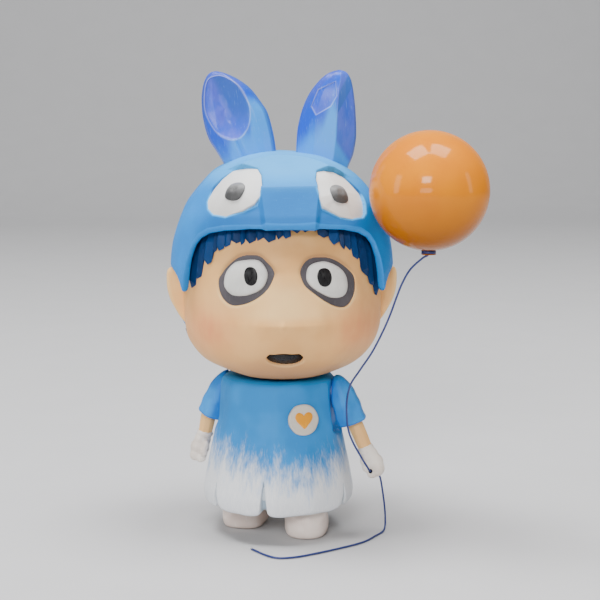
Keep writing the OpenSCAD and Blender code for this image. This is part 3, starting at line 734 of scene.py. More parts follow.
def make_head():
    azimuth = np.radians(uneven([-180, -62, 62, 180], [80, 320, 80])[:-1])
    elevation = np.radians(uneven([-89.5, -55, -8, 45, 89.5], [24, 70, 120, 24]))
    az, el = np.meshgrid(azimuth, elevation)
    d = directions(az, el)
    reach = head_reach(d)
    surface = HEAD_CENTRE + d * reach[..., None]
    shade, edge = np.zeros(az.shape), np.zeros(az.shape)
    sunk = np.zeros(az.shape)
    for seat, rim, _, _ in EYES.values():
        u, v, w = seat.local(surface)
        near = (w > -14) & (surface[..., 1] < 0)
        out = rim.outside(u, v)
        sunk += np.where(near, 1.25 * step(-out, -0.25, 0.25), 0)
        lower = step(-v - 0.25 * np.abs(u), -1, 7)
        # Painted highlight on the lower rim of each socket.
        edge += np.where(near, 0.75 * bell(out - 0.75, 0.6) * lower, 0)
        shade += np.where(near, 0.5 * bell(out - 0.3, 1.1) * step(v, -1, 6), 0)
        shade += np.where(near, 0.22 * bell(out, 4.5) * step(v, 0, 8), 0)
    u, v, w = MOUTH_SEAT.local(surface)
    near = (w > -14) & (surface[..., 1] < 0)
    out = MOUTH.outside(u, v)
    sunk += np.where(near, 2.6 * step(-out, -0.2, 0.25), 0)
    # Painted highlight along the mouth's lower edge.
    edge += np.where(near, 0.35 * bell(out - 0.7, 0.5) * step(-v, 0, 2), 0)
    shade += np.where(near, 0.9 * step(-out, 0.0, 0.3), 0)
    surface = surface - d * sunk[..., None]
    x, z = surface[..., 0], surface[..., 2] - HEAD_MID
    front = surface[..., 1] < 0
    blush = sum(
        np.where(front, bell(np.hypot((x - side * 36.5) / 1.0, (z + 5.5) / 1.0), 12.5), 0) for side in (-1, 1)
    )
    shade += 0.60 * step(-z, 8, 33) + np.where(front, 0.30 * step(z, 24, 40) * bell(x, 36), 0)
    shade += np.where(front, 0.24 * step(-z, 0.5, 3) * bell(x, 20), 0)
    # Painted light on the front of the muzzle.
    edge += np.where(front, 0.55 * step(z, -1, 4) * step(24 - z, 0, 12) * bell(x, 24) * (edge < 0.3), 0)
    masks = {"shade": np.clip(shade, 0, 1), "edge": np.clip(edge, 0, 1), "blush": np.clip(blush, 0, 1)}
    points, faces, values = capped(surface, masks)
    add_piece("head_skin", points, faces, "skin", "head", ["head_shell"], masks=values)


def make_eyes():
    for name, (seat, rim, white, pupil) in EYES.items():
        ring_plug(
            f"eye_socket_ring_{name}", seat, rim, white,
            lambda share, u, v: -0.5 - 0.25 * (1 - share), 3.0, "eye_rim", "head", [f"eye_rim_{name}"],
        )

        def dome(share, u, v):
            return -0.85 + 2.1 * (1 - share ** 7) ** 0.5 + 0.5 * (1 - share ** 2)

        # Painted shade along the lower edge and painted light on the upper part of each white.
        masks = {
            "shade": lambda share, u, v: 0.9 * bell(share - 0.985, 0.03) * step(-v, -2, 3) + 0.25 * step(-v, 2, 9),
            "edge": lambda share, u, v: 0.6 * step(v, 2, 8),
        }
        plug(f"eyeball_{name}", seat, white, dome, 2.6, "eye_white", "head", [f"eye_white_{name}"], rings=34, masks=masks)
        middle = np.asarray(pupil.middle)
        base = 1.75 - 0.5 * float((middle ** 2).sum()) / 90

        def bead(share, u, v, base=base):
            return base + 0.75 * (1 - share ** 2.4) ** 0.6 - 0.1

        # The pupil gets a soft painted glint above its middle.
        plug(
            f"eye_pupil_{name}", seat, pupil, bead, 0.3, "dark_paint", "head", [f"pupil_{name}"], rings=18, spokes=90,
            masks={"edge": lambda share, u, v, m=middle: 0.5 * bell(np.hypot(u - m[0] + 1.0, v - m[1] - 1.6), 1.2)},
        )


def make_mouth():
    grown = Outline([(1.04 * math.cos(a) * r, 1.06 * math.sin(a) * r) for a in np.linspace(0, 2 * np.pi, 40, endpoint=False) for r in [MOUTH.radius(a)]])
    plug(
        "mouth_inside", MOUTH_SEAT, grown, lambda share, u, v: -1.9 - 0.5 * (1 - share ** 2) + 0.25 * v * 0.3, 1.6,
        "dark_paint", "head", ["mouth_insert"], rings=14, spokes=120,
        # Painted light on the lower inside of the mouth.
        masks={"edge": lambda share, u, v: 0.35 * step(-v, 0.2, 2.2)},
    )


def lobe(name, levels, material, body, nodes, depth, masks=None, features=None, middle_y=0.0, rows=120, columns=150, slot=None):
    """Upright leaf: levels gives [z, left x, right x, thickness] from its base to its tip.

    depth(s) is the front's share of the thickness at s, from -1 at the far left to 1 at the far right."""
    levels = np.asarray(levels, float)
    z = levels[0, 0] + (levels[-1, 0] - levels[0, 0]) * np.sin(np.linspace(0, np.pi / 2, rows))

    def level(column):
        return smooth_levels(z, levels[:, 0], levels[:, column])

    left, right, thick = level(1), level(2), np.maximum(level(3), 0.02)
    half = columns // 2
    s_front = -np.cos(np.linspace(0, np.pi, half, endpoint=False))
    s_back = np.cos(np.linspace(0, np.pi, half, endpoint=False))
    s = np.concatenate([s_front, s_back])
    is_front = np.concatenate([np.ones(half), np.zeros(half)])[None, :]
    x = (left + right)[:, None] / 2 + (right - left)[:, None] / 2 * s[None, :]
    zz = z[:, None] * np.ones(len(s))
    front = -thick[:, None] * depth(s)[None, :]
    back = 0.8 * thick[:, None] * np.sqrt(np.clip(1 - s ** 2, 0, 1))[None, :]
    y = np.where(is_front > 0, front, back)
    if features:
        y = y + is_front * features(x, zz, s[None, :] * np.ones_like(x))
    values = {}
    if masks:
        values = masks(x, zz, s[None, :] * np.ones_like(x), is_front * np.ones_like(x))
    grid = np.stack([x, y + middle_y, zz], -1)
    points, faces, closed = capped(grid, values)
    return add_piece(name, points, faces, material, body, nodes, slot, closed)


def smooth_levels(z, knots, values):
    """Smooth curve through values given at knots (monotone cubic, so that it never overshoots)."""
    knots, values = np.asarray(knots, float), np.asarray(values, float)
    gap = np.diff(knots)
    slope = np.diff(values) / gap
    tangent = np.zeros(len(knots))
    tangent[0], tangent[-1] = slope[0], slope[-1]
    for i in range(1, len(knots) - 1):
        if slope[i - 1] * slope[i] > 0:
            w1, w2 = 2 * gap[i] + gap[i - 1], gap[i] + 2 * gap[i - 1]
            tangent[i] = (w1 + w2) / (w1 / slope[i - 1] + w2 / slope[i])
    i = np.clip(np.searchsorted(knots, z) - 1, 0, len(gap) - 1)
    t = (z - knots[i]) / gap[i]
    h00, h10 = 2 * t ** 3 - 3 * t ** 2 + 1, t ** 3 - 2 * t ** 2 + t
    h01, h11 = -2 * t ** 3 + 3 * t ** 2, t ** 3 - t ** 2
    return h00 * values[i] + h10 * gap[i] * tangent[i] + h01 * values[i + 1] + h11 * gap[i] * tangent[i + 1]


def make_elf_ears():
    outline = [
        [105, 46, 47.5, 1.6], [108, 46, 50.2, 2.2], [112.2, 46, 52.8, 2.4], [118.8, 46, 56, 2.4],
        [125, 46.5, 57.2, 2.4], [129, 48.8, 57.3, 2.3], [131.5, 51, 57, 2.1], [133, 52.8, 56.2, 1.5], [133.6, 54, 55, 0.3],
    ]
    shift = HEAD_MID - 113
    for side, name in ((-1, "right"), (1, "left")):
        levels = [[z + shift, *sorted((side * a, side * b)), t] for z, a, b, t in outline]

        def dish(x, z, s, side=side):
            hollow = Outline([(50, 130), (54.5, 130.5), (55.3, 125), (53.5, 117), (50.5, 111), (47, 112)], middle=(51.5, 122))
            out = hollow.outside(side * x, z - shift)
            return 0.22 * step(-out, -0.6, 1.6)

        def tint(x, z, s, front, side=side):
            # Painted highlight along the outer rim; the front is a little lighter all over, and the base darker with
            # painted shade.
            rim = bell(s * side - 0.9, 0.16) * front
            low = 0.25 * step(111 + shift - z, 0, 8)
            return {"edge": 0.35 * rim + 0.18 * front, "shade": low, "blush": 0 * x}

        lobe(
            f"elf_ear_{name}", levels, "skin", "head", [f"ear_{name}"],
            lambda s: np.clip(1 - s ** 4, 0, 1) ** 0.5, tint, dish, middle_y=-2.0, rows=70, columns=90,
        )


# ---------------------------------------------------------------- hood

HOOD_EYE_RIGHT = [
    (-14.3, -4.4), (-13.8, 2.5), (-11.4, 8.5), (-7.1, 12.8), (0, 14.8), (7.2, 13.8), (10.9, 9.9), (14.8, 2.8),
    (14.8, -2.4), (13.1, -6.8), (8, -10.6), (-0.2, -13.7), (-7.7, -12.4), (-12.2, -8.9),
]
HOOD_EYE_LEFT = [
    (-8.9, 5.6), (-5.2, 11.2), (-0.7, 12.4), (6.1, 12.7), (11.7, 10.4), (14.9, 5.3), (17.6, 0.3), (17.6, -5),
    (15.6, -11), (12.8, -13.7), (4.8, -15), (-1.3, -13.9), (-7.1, -10.5), (-9.9, -9), (-11, -4.8), (-11.1, -0.6),
]
HOOD_EDGE = [
    [0, 159.6], [20, 159.5], [35, 158.4], [45, 156.6], [52, 153.6], [56, 149.5], [59, 142], [60.6, 134], [61.6, 128],
    [62.6, 126.2], [64.5, 129.3], [68.5, 132.5], [73, 134.3], [80, 135.6], [88, 136], [94, 134], [99, 122],
    [103, 106], [108, 100.5], [125, 98.5], [180, 97],
]


def hood_base(d):
    return superblob(d, HOOD_R, HOOD_RISE, HOOD_DROP, 2.3, 2.3)


HOOD_FACETS = Facets(hood_base, 46, 11, 0.8, 1.1)


def through(normal, point):
    """A plane through a point, seen from the hood's centre."""
    n = np.asarray(normal, float)
    n = n / np.linalg.norm(n)
    return n, float((np.asarray(point, float) - HOOD_CENTRE) @ n)


# The brow block between the hood's eyes: its front, its sloping top and its two sides
HOOD_BLOCK = [
    through([0.02, -0.893, 0.45], [2, -50.0, 162.0]),
    through([0, -0.50, 0.866], [2, -42.7, 176.7]),
    through([-0.84, -0.52, 0.16], [-10.8, -46.0, 168.0]),
    through([0.84, -0.52, 0.16], [15.5, -46.0, 168.0]),
]


def hood_reach(d):
    reach = HOOD_FACETS.cut(d, hood_base(d))
    block = reach + 4.5 * step(-d[..., 1], 0.2, 0.5)
    for normal, offset in HOOD_BLOCK:
        block = smooth_min(block, plane_reach(d, normal, offset), 0.3)
    return smooth_max(reach, block, 0.4)


def hood_eye_ground(d):
    """The surface the hood's eyes lie on, rising gently towards the brow block at its upper inner corners."""
    inward = step(0.60 - np.abs(d[..., 0]), 0, 0.42)
    return hood_base(d) + 2.9 * inward * step(d[..., 2], 0.28, 0.72)


def hood_eye_seat(side):
    share = ((HOOD_EYE_Z - HOOD_MID) / HOOD_RISE) ** 2.3
    ring = HOOD_R * (1 - share) ** (1 / 2.3)
    origin = [side * HOOD_EYE_X, -math.sqrt(ring ** 2 - HOOD_EYE_X ** 2), HOOD_EYE_Z]
    return Seat(origin, local_axes(side * HOOD_EYE_YAW, HOOD_EYE_TILT), HOOD_CENTRE, hood_eye_ground)


HOOD_EYES = {
    "right": (hood_eye_seat(-1), HOOD_EYE_RIGHT, (2.5, -1.8)),
    "left": (hood_eye_seat(1), HOOD_EYE_LEFT, (0.9, -3.2)),
}


def make_hood():
    azimuth = np.radians(uneven([-180, -105, -52, 52, 105, 180], [56, 90, 280, 90, 56])[:-1])
    edge_z = np.interp(np.abs(np.degrees(azimuth)), *np.array(HOOD_EDGE).T) + HEAD_MID - 113
    share = (np.abs(edge_z - HOOD_MID) / np.where(edge_z > HOOD_MID, HOOD_RISE, HOOD_DROP)) ** 2.3
    edge_el = np.arctan2(edge_z - HOOD_MID, HOOD_R * (1 - share) ** (1 / 2.3))
    fall = np.linspace(0.003, 1, 210)[:, None]
    el = np.pi / 2 + (edge_el - np.pi / 2)[None, :] * fall
    az = azimuth[None, :] * np.ones_like(el)
    d = directions(az, el)
    behind = step(np.abs(azimuth), math.radians(88), math.radians(104))
    tuck = 1 - 0.05 * behind * step(HOOD_MID - 8 - HOOD_CENTRE[2] - 60 * d[..., 2], 0, 22)
    outer = HOOD_CENTRE + d * (hood_reach(d) * tuck)[..., None]
    shade, light, sunk = np.zeros(az.shape), np.zeros(az.shape), np.zeros(az.shape)
    for seat, points, _ in HOOD_EYES.values():
        rim = Outline(points, smooth=False)
        u, v, w = seat.local(outer)
        near = (w > -12) & (outer[..., 1] < 0)
        out = rim.outside(u, v)
        down_to = 3.2 + np.linalg.norm(outer - HOOD_CENTRE, axis=-1) - hood_eye_ground(d)
        sunk += np.where(near, down_to * step(-out, -0.35, 0.3), 0)
        upper = step(v + 0.2 * np.abs(u), 0, 5)
        shade += np.where(near, 0.95 * bell(out + 0.1, 0.75) * upper, 0)
        light += np.where(near, 0.9 * bell(out - 0.5, 0.55) * (1 - upper), 0)
    outer = outer - d * sunk[..., None]
    z = outer[..., 2] - HOOD_MID
    front = step(-outer[..., 1], 20, 42)
    # Painted light on the hood's top, painted shade on its front block and lower front.
    light += 0.55 * step(z, 44, 56) * (light < 0.2)
    shade += 0.36 * front * step(49 - z, 0, 2) * (light < 0.2)
    shade += 0.22 * front * step(36 - z, 0, 3)

    inner_d = directions(az[::-6], el[::-6])
    wall = superblob(inner_d, HOOD_R - HOOD_WALL, HOOD_RISE - HOOD_WALL, HOOD_DROP, 2.3, 2.3)
    inner = HOOD_CENTRE + inner_d * wall[..., None]
    low_out, low_in = outer[-1], inner[0]
    middle, half = (low_out + low_in) / 2, (low_out - low_in) / 2
    down = outer[-1] - outer[-4]
    down /= np.linalg.norm(down, axis=-1)[:, None]
    reach = np.linalg.norm(half, axis=-1)[:, None]
    roll = [middle + half * math.cos(a) + down * reach * math.sin(a) for a in np.linspace(0, np.pi, 12)[1:-1]]
    grid = np.concatenate([outer, roll, inner])
    extra = len(grid) - len(outer)
    dark = np.concatenate([np.linspace(0, 0.4, 10), np.full(extra - 10, 0.45)])[:, None] * np.ones(len(azimuth))
    masks = {
        "shade": np.concatenate([np.clip(shade, 0, 1), dark]),
        "edge": np.concatenate([np.clip(light, 0, 1), np.zeros_like(dark)]),
    }
    points, faces, values = capped(grid, masks)
    add_piece("hood_cap", points, faces, "hood", "head", ["hood_shell"], masks=values)


def make_hood_eyes():
    for name, (seat, points, middle) in HOOD_EYES.items():
        grown = [(1.02 * u, 1.02 * v) for u, v in points]
        white = Outline(grown, smooth=False, middle=middle)
        corner = np.sort(np.arctan2(*(np.array(grown) - middle).T[::-1]))[::2]
        lumps = np.random.default_rng(len(name)).uniform(-0.95, 0.95, len(corner))

        def cone(share, u, v, corner=corner, lumps=lumps, middle=middle):
            angle = np.arctan2(v - middle[1], u - middle[0])
            fold = np.interp(angle, corner, lumps, period=2 * np.pi)
            return -1.6 - 0.045 * v + 2.5 * (1 - share) + fold * np.minimum(share, 0.8)

        # Painted light on the upper part of each white and painted shade on the lower part.
        plug(
            f"hood_eye_white_{name}", seat, white, cone, 3.0, "hood_eye_white", "head", [f"hood_eye_{name}"],
            rings=16, spokes=len(points) * 10, slot="eye_white",
            masks={"edge": lambda share, u, v: 0.4 * step(v, 0, 9), "shade": lambda share, u, v: 0.5 * step(-v, 3, 14)},
        )
        dot = [(3.9, 0), (3.1, 3.2), (0.2, 4.3), (-3.1, 3.4), (-4.4, 0.3), (-3.7, -3.2), (-0.4, -4.6), (2.8, -3.6)]
        dot = [(middle[0] + 1.22 * u, middle[1] + 1.1 * v) for u, v in dot]
        bead = Outline(dot, middle=middle)

        def hump(share, u, v, m=middle):
            away = np.hypot(u - m[0], v - m[1])
            return 0.75 + 1.2 * np.clip((1 - share) / 0.5, 0, 1) - 0.5 * bell(away - 0.2, 0.9) + 0.35 * bell(away, 0.5) - 0.05 * v

        # Painted highlight on the bead's upper half and painted shade on its lower half.
        plug(
            f"hood_pupil_bead_{name}", seat, bead, hump, 1.2, "hood_pupil", "head", [f"hood_pupil_{name}"],
            rings=18, spokes=96,
            masks={"edge": lambda share, u, v, m=middle: 0.6 * step(v - m[1], 0, 2.5), "shade": lambda share, u, v, m=middle: 0.7 * step(m[1] - v, 0, 2.5)},
        )


def make_hood_ears():
    shift = HOOD_RISE + HOOD_MID - 191.5
    right_levels = [
        [176, -25, -3, 7.5], [184.6, -28.5, -2.3, 8], [190.7, -32, -2.8, 7.8], [196.9, -35.8, -3.6, 7.4], [204.2, -38, -5.2, 7],
        [210, -38.9, -7, 6.6], [216, -39.2, -10.9, 6], [221.7, -38.6, -15.5, 5], [225.5, -37.5, -20.5, 3.9],
        [228.2, -35.9, -25.8, 2.6], [229.4, -34.2, -29.5, 1.4], [229.8, -32.6, -31.4, 0.3],
    ]
    left_levels = [
        [174, 8, 30, 7.5], [182.6, 7.2, 32.7, 8], [190, 7.1, 35.5, 8], [199.8, 7.6, 36.8, 7.6], [209.6, 9.6, 36.4, 7],
        [217.8, 12.9, 35.6, 6.2], [224.6, 17.8, 34.4, 4.8], [227.6, 21, 33.2, 3.6], [229.6, 24.6, 31.4, 2],
        [230.4, 27.6, 29, 0.3],
    ]
    recess = Outline([
        (-36.2, 225), (-32, 227.4), (-27.1, 226.6), (-20.3, 221.7), (-15.9, 212.1), (-16.9, 202.8), (-22.4, 197),
        (-30.7, 199.4), (-36.4, 208.2), (-37.6, 216.4),
    ], middle=(-27.5, 212))
    chip = Outline([(17.8, 221), (26.2, 225), (26.6, 218), (23.8, 213), (16.6, 208.7), (14.4, 213)], smooth=False, middle=(20.8, 216.5))

    def shares(knots):
        at, value = np.array(knots).T
        return lambda s: smooth_knots(s, at, value)

    def right_dish(x, z, s):
        z = z - shift
        out = recess.outside(x, z)
        inside = np.clip(-out / 10.5, 0, 1)
        valley = 3.9 * (1 - (1 - inside) ** 1.7)
        groove = 0.9 * bell(x + 22.5 - 0.45 * (198 - z), 0.9) * step(198 - z, 0, 3) * step(z, 180, 190)
        wall = 0.55 * step(-out, -0.1, 0.5)
        return valley + groove + wall

    def right_tint(x, z, s, front):
        z = z - shift
        out = recess.outside(x, z)
        crease = (x + 36) * 1.0 - (226 - z) * 0.52
        inside = step(-out, -0.1, 0.5) * front
        dark = inside * step(crease, 0, 5) * step(z, 200, 214)
        line = bell(out - 0.25, 0.32) * front
        outer = (np.abs(s) > 0.93) * 0.3
        # Painted shade in the recess crease and at the sides; painted highlights along the recess rim and a facet edge.
        return {
            "level": (z - 188) / 40 - 0.42 * step(s, 0.25, 0.55) * step(226 - z, 0, 14) + 0.3 * step(-s, 0.2, 0.7),
            "lilac": inside * (1 - 0.6 * dark), "shade": 0.85 * dark + outer + 0.5 * step(s, 0.84, 0.9) * front,
            "edge": 0.32 * line + 0.3 * bell(s - 0.56, 0.03) * front * step(z, 204, 220),
        }

    def left_cut(x, z, s):
        z = z - shift
        out = chip.outside(x, z)
        return 0.45 * step(-out, -0.15, 0.35)

    def left_tint(x, z, s, front):
        z = z - shift
        out = chip.outside(x, z)
        inner = step(s, 0.28, 0.32) * front * step(z + 1.5 * (x - 30), 188, 193)
        wedge = inner * step(z - 214 - 1.7 * (x - 30), 0, 1.5) * step(3.4 - (z - 214 - 1.7 * (x - 30)) / 3.2, 0, 1)
        # Painted shade in the inner wedge and at the sides; painted highlights along the chip's outline and the inner
        # facet edge.
        return {
            "level": (z - 190) / 38 - 0.35 * bell(s - 0.1, 0.22) + 0.25 * step(-s, 0.5, 0.9),
            "lilac": np.clip(0.85 * inner + 0.8 * step(-out, 0, 0.5) * front * step(224 - z, 0, 12), 0, 1),
            "shade": 1.0 * wedge + 0.25 * (np.abs(s) > 0.95) + 0.25 * inner,
            "edge": front * (0.42 * bell(out, 0.26) + 0.2 * bell(s - 0.28, 0.015) * step(z, 200, 210)),
        }

    lobe(
        "hood_ear_leaf_right", [[z + shift, a, b, t] for z, a, b, t in right_levels], "hood_ears", "head", ["hood_ear_right"],
        shares([(-1, 0), (-0.93, 0.42), (-0.6, 0.85), (0, 1), (0.42, 0.95), (0.62, 0.84), (0.88, 0.45), (1, 0)]),
        right_tint, right_dish, rows=190, columns=300,
    )
    lobe(
        "hood_ear_leaf_left", [[z + shift, a, b, t] for z, a, b, t in left_levels], "hood_ears", "head", ["hood_ear_left"],
        shares([(-1, 0), (-0.9, 0.4), (-0.45, 0.8), (0.05, 0.98), (0.28, 1.06), (0.62, 0.66), (0.93, 0.36), (1, 0)]),
        left_tint, left_cut, rows=190, columns=300,
    )


def smooth_knots(s, at, value):
    """Straight runs between knots with slightly rounded corners, as soft facets have."""
    made = np.zeros_like(s)
    for shift in np.linspace(-0.02, 0.02, 7):
        made = made + np.interp(np.clip(s + shift, -1, 1), at, value)
    return np.where(np.abs(s) > 0.999, 0, made / 7)


# ---------------------------------------------------------------- hair

HAIR_LENGTH = [
    [-67, 121], [-63, 125], [-58, 130], [-52, 138], [-46, 144], [-38, 147.5], [-30, 149], [-20, 150], [-10, 151], [0, 152.3], [8, 153.4],
    [15, 154.6], [18, 156.5], [21, 154.2], [26, 151], [34, 148.5], [42, 144.5], [50, 138], [57, 130], [63, 124], [67, 120],
]


def wedge(points):
    """Faces of the convex solid round a few points."""
    made = bmesh.new()
    for p in points:
        made.verts.new(p)
    bmesh.ops.convex_hull(made, input=made.verts)
    bmesh.ops.delete(made, geom=[v for v in made.verts if not v.link_faces], context="VERTS")
    made.verts.index_update()
    found = [np.array(v.co) for v in made.verts]
    faces = [[v.index for v in f.verts] for f in made.faces]
    made.free()
    return found, faces


def strands(name, nodes, angles, bottom, seed, top):
    """Chunky pointed locks of hair side by side round the head."""
    random = np.random.default_rng(seed)
    points, faces, light = [], [], []
    for a, b in zip(angles[:-1], angles[1:]):
        gap = -0.06 * (b - a)
        mid = a + (b - a) * random.uniform(0.3, 0.7)
        low = bottom((a + b) / 2) + random.uniform(-1.1, 1.1)
        tip = a + (b - a) * random.uniform(0.25, 0.8)
        lifted = random.uniform(1.3, 3.8)
        ridge = random.uniform(1.5, 2.3)
        corners = []
        for az, z, out in [
            (a + gap, top, 0.2), (mid, top, ridge + 0.3), (b - gap, top, 0.2),
            (a + gap, low + lifted, 0.2), (mid, low + lifted + 1.2, ridge), (b - gap, low + lifted * 0.6, 0.2),
            (a + gap, (low + top) / 2, 0.9), (mid, (low + top) / 2, ridge + 0.7), (b - gap, (low + top) / 2, 0.9),
            (tip, low, 0.6), (tip, low + 0.6, -0.4), (a + gap, top, -1), (b - gap, top, -1),
        ]:
            ring = head_ring(z) + out
            corners.append(ring * np.array([math.sin(math.radians(az)), -math.cos(math.radians(az)), 0]) + [0, 0, z])
        found, made = wedge(corners)
        start = len(points)
        points += found
        faces += [[start + i for i in f] for f in made]
        # Each lock takes a random lighter tint through the second mask.
        light += [float(np.clip(random.normal(0.14, 0.18), 0, 0.7))] * len(found)
    piece = add_piece(name, points, faces, "hair", "head", nodes, masks={"edge": light}, flat=True)
    bevel = piece.modifiers.new("soft_edges", "BEVEL")
    bevel.width = 0.25 * MM
    bevel.segments = 2
    bevel.limit_method = "ANGLE"
    return piece


def head_ring(z):
    """Radius of the head at a height."""
    rise = z - HEAD_MID
    share = abs(rise) / (CROWN_RISE if rise > 0 else CHIN_DROP)
    return HEAD_R * max(0.0, 1 - share ** 2.3) ** (1 / 2.3)


def make_hair():
    random = np.random.default_rng(4)
    shift = HEAD_MID - 113
    widths = random.uniform(2.6, 8.2, 24)
    angles = np.concatenate([[0], np.cumsum(widths)])
    angles = -67 + angles / angles[-1] * 134
    strands(
        "hair_front", ["hair_fringe"], angles, lambda a: np.interp(a, *np.array(HAIR_LENGTH).T) + shift, 8, 159.5 + shift,
    )
    back = np.linspace(97, 263, 30) + random.uniform(-1.5, 1.5, 30)
    strands("hair_back", ["hair_nape"], back, lambda a: 94.5 + shift, 9, 101 + shift)


# ---------------------------------------------------------------- tunic, badge and feet

TUNIC_PROFILE = [
    [16, 36.6], [17.2, 37.3], [22, 37.8], [30, 36.6], [40.4, 34.5], [52.6, 32.0], [60, 30.8], [66, 30.0], [72, 29.5],
    [76, 29.0], [78.4, 27.9], [79.6, 25.2], [79.8, 22.5], [79.0, 12],
]
TUNIC_SHIFT = np.array([-1.9, 0, 0])
NOTCHES = [[-58.5, 13], [-13.5, 17.5], [58.5, 12], [103, 13], [148, 15], [-160, 12], [-108, 14]]
FADE = [[-180, 42], [-90, 44], [-60, 45], [-40, 43], [-20, 41], [0, 38], [15, 36], [30, 37], [50, 40], [90, 43], [180, 42]]


def recessed(points, wall):
    """Points moved in where they would reach past the flat seats of the sleeves."""
    own = turned(points, -BODY_YAW)
    away = np.hypot(own[..., 1], own[..., 2] - SHOULDER_Z)
    free = 12 * step(away, RECESS_R, RECESS_R + 9)
    own[..., 0] = np.maximum(own[..., 0], -RECESS_X["right"] + wall - free)
    free = 12 * np.maximum(step(away, RECESS_R, RECESS_R + 3), step(-own[..., 1], 8.8, 10.2))
    own[..., 0] = np.minimum(own[..., 0], RECESS_X["left"] - wall + free)
    return turned(own, BODY_YAW)


def make_tunic():
    degrees = uneven([-180, -85, 85, 180], [150, 460, 150])[:-1]
    azimuth = np.radians(degrees)
    low = 16.0
    profile = np.array(TUNIC_PROFILE)
    along = np.arange(len(profile))
    share = np.concatenate([np.linspace(0, 3, 64, endpoint=False), np.linspace(3, len(profile) - 1, 90)])
    z = smooth_levels(share, along, profile[:, 0])
    ring = smooth_levels(share, along, profile[:, 1])[:, None] * np.ones(len(azimuth))
    sides = np.random.default_rng(2).uniform(-5, 5, 13) + np.linspace(-180, 180, 13, endpoint=False)
    body = ring.copy()
    for turn in np.radians(sides):
        facing = np.cos(azimuth - turn)[None, :]
        flat = np.where(facing > 0.3, (ring - 0.55) / np.maximum(facing, 0.3), 1e3)
        body = smooth_min(body, flat, 0.8)
    zz = z[:, None] * np.ones(len(azimuth))
    cut, lifted, shade = np.zeros_like(body), np.zeros(len(azimuth)), np.zeros_like(body)
    for angle, tall in NOTCHES:
        away = np.abs((degrees - angle + 180) % 360 - 180) * math.pi / 180 * 37
        half = 2.3 * np.clip((low + tall - zz) / tall, 0, 1) ** 0.8
        inside = np.where(half > 0.05, np.clip(1 - away[None, :] / np.maximum(half, 0.05), 0, 1), 0)
        cut += 3.0 * step(inside, 0.0, 0.55) * step(low + tall - zz, 0, 6)
        shade += 0.85 * step(inside, 0.05, 0.5)
        lifted += 2.6 * bell(away, 2.4) - 0.5 * bell(away - 9, 5)
    rise = lifted[None, :] * (1 - step(zz, low, low + 9))
    body = body - cut
    out = np.stack([body * np.sin(azimuth), -body * np.cos(azimuth), zz + rise], -1)

    out = recessed(out + TUNIC_SHIFT, 0)

    inner_z = np.linspace(74, low, 30)
    inner_ring = (smooth_levels(inner_z + 0.5, profile[:10, 0], profile[:10, 1]) - 2.6)[:, None] - cut[:1] * step(26 - inner_z, 0, 10)[:, None]
    inner = np.stack([
        inner_ring * np.sin(azimuth), -inner_ring * np.cos(azimuth),
        inner_z[:, None] + lifted[None, :] * (1 - step(inner_z, low, low + 9))[:, None],
    ], -1)
    inner = recessed(inner + TUNIC_SHIFT, 2.2)

    middle = (out[0] + inner[-1]) / 2 - [0, 0, 0.7]
    grid = np.concatenate([inner, middle[None], out])
    fade = zz - np.interp(degrees, *np.array(FADE).T)[None, :]
    lead = len(inner) + 1

    def padded(values, fill):
        return np.concatenate([np.full((lead, len(azimuth)), fill), values])

    scuff = bell(zz - 17.5, 1.6) * (bell(degrees - 22, 13) + 0.6 * bell(degrees + 42, 6))[None, :]
    masks = {"fade": padded(fade, -20), "shade": padded(np.clip(shade, 0, 1), 0.35), "scuff": padded(scuff, 0)}
    points, faces, values = capped(grid, masks)
    add_piece("tunic_dress", points, faces, "tunic", "body", ["tunic_shell"], masks=values)


def body_axes(yaw, tilt):
    return local_axes(yaw + math.degrees(BODY_YAW), tilt)


def make_badge():
    yaw, tilt, chest, height, thick = 35, 10.7, 30.3, 62.0, 1.2
    y = math.radians(yaw)
    origin = turned([chest * math.sin(y), -chest * math.cos(y), height], BODY_YAW)
    seat = Seat(origin, body_axes(yaw, tilt))
    corners = [(7.7 * k * math.cos(a), 7.7 * k * math.sin(a)) for a, k in zip(
        np.linspace(0, 2 * np.pi, 15, endpoint=False),
        [1, 0.985, 1, 0.99, 0.975, 1, 0.985, 1, 0.99, 0.98, 1, 0.985, 0.995, 1, 0.98],
    )]
    disc = Outline(corners)
    plug(
        "badge_plate", seat, disc, lambda share, u, v: thick - 0.5 * step(share, 0.93, 1.0) - 0.1 * share ** 2, 1.0,
        "badge", "body", ["badge_disc"], masks={"shade": lambda share, u, v: 0.5 * step(share, 0.95, 1) + 0.12 * step(-v, 2, 7)},
    )
    heart = Outline([
        (0, -4.4), (2.0, -2.6), (3.8, -0.6), (4.5, 1.3), (3.9, 3.0), (2.3, 3.6), (0.8, 3.0), (0, 2.1),
        (-0.8, 3.0), (-2.3, 3.6), (-3.9, 3.0), (-4.5, 1.3), (-3.8, -0.6), (-2.0, -2.6),
    ], middle=(0, 0))
    plug(
        "badge_heart", seat, heart, lambda share, u, v: thick + 0.42 * (1 - share ** 6) ** 0.5, 0.2,
        "emblem", "body", ["badge_emblem"], rings=18, spokes=160,
    )


FEET = {
    "right": (-1, (-18.2, 7.2), -17, 3.3, 14.3, 10.9),
    "left": (1, (11.9, -12.0), -9, 2.35, 14.3, 10.9),
}


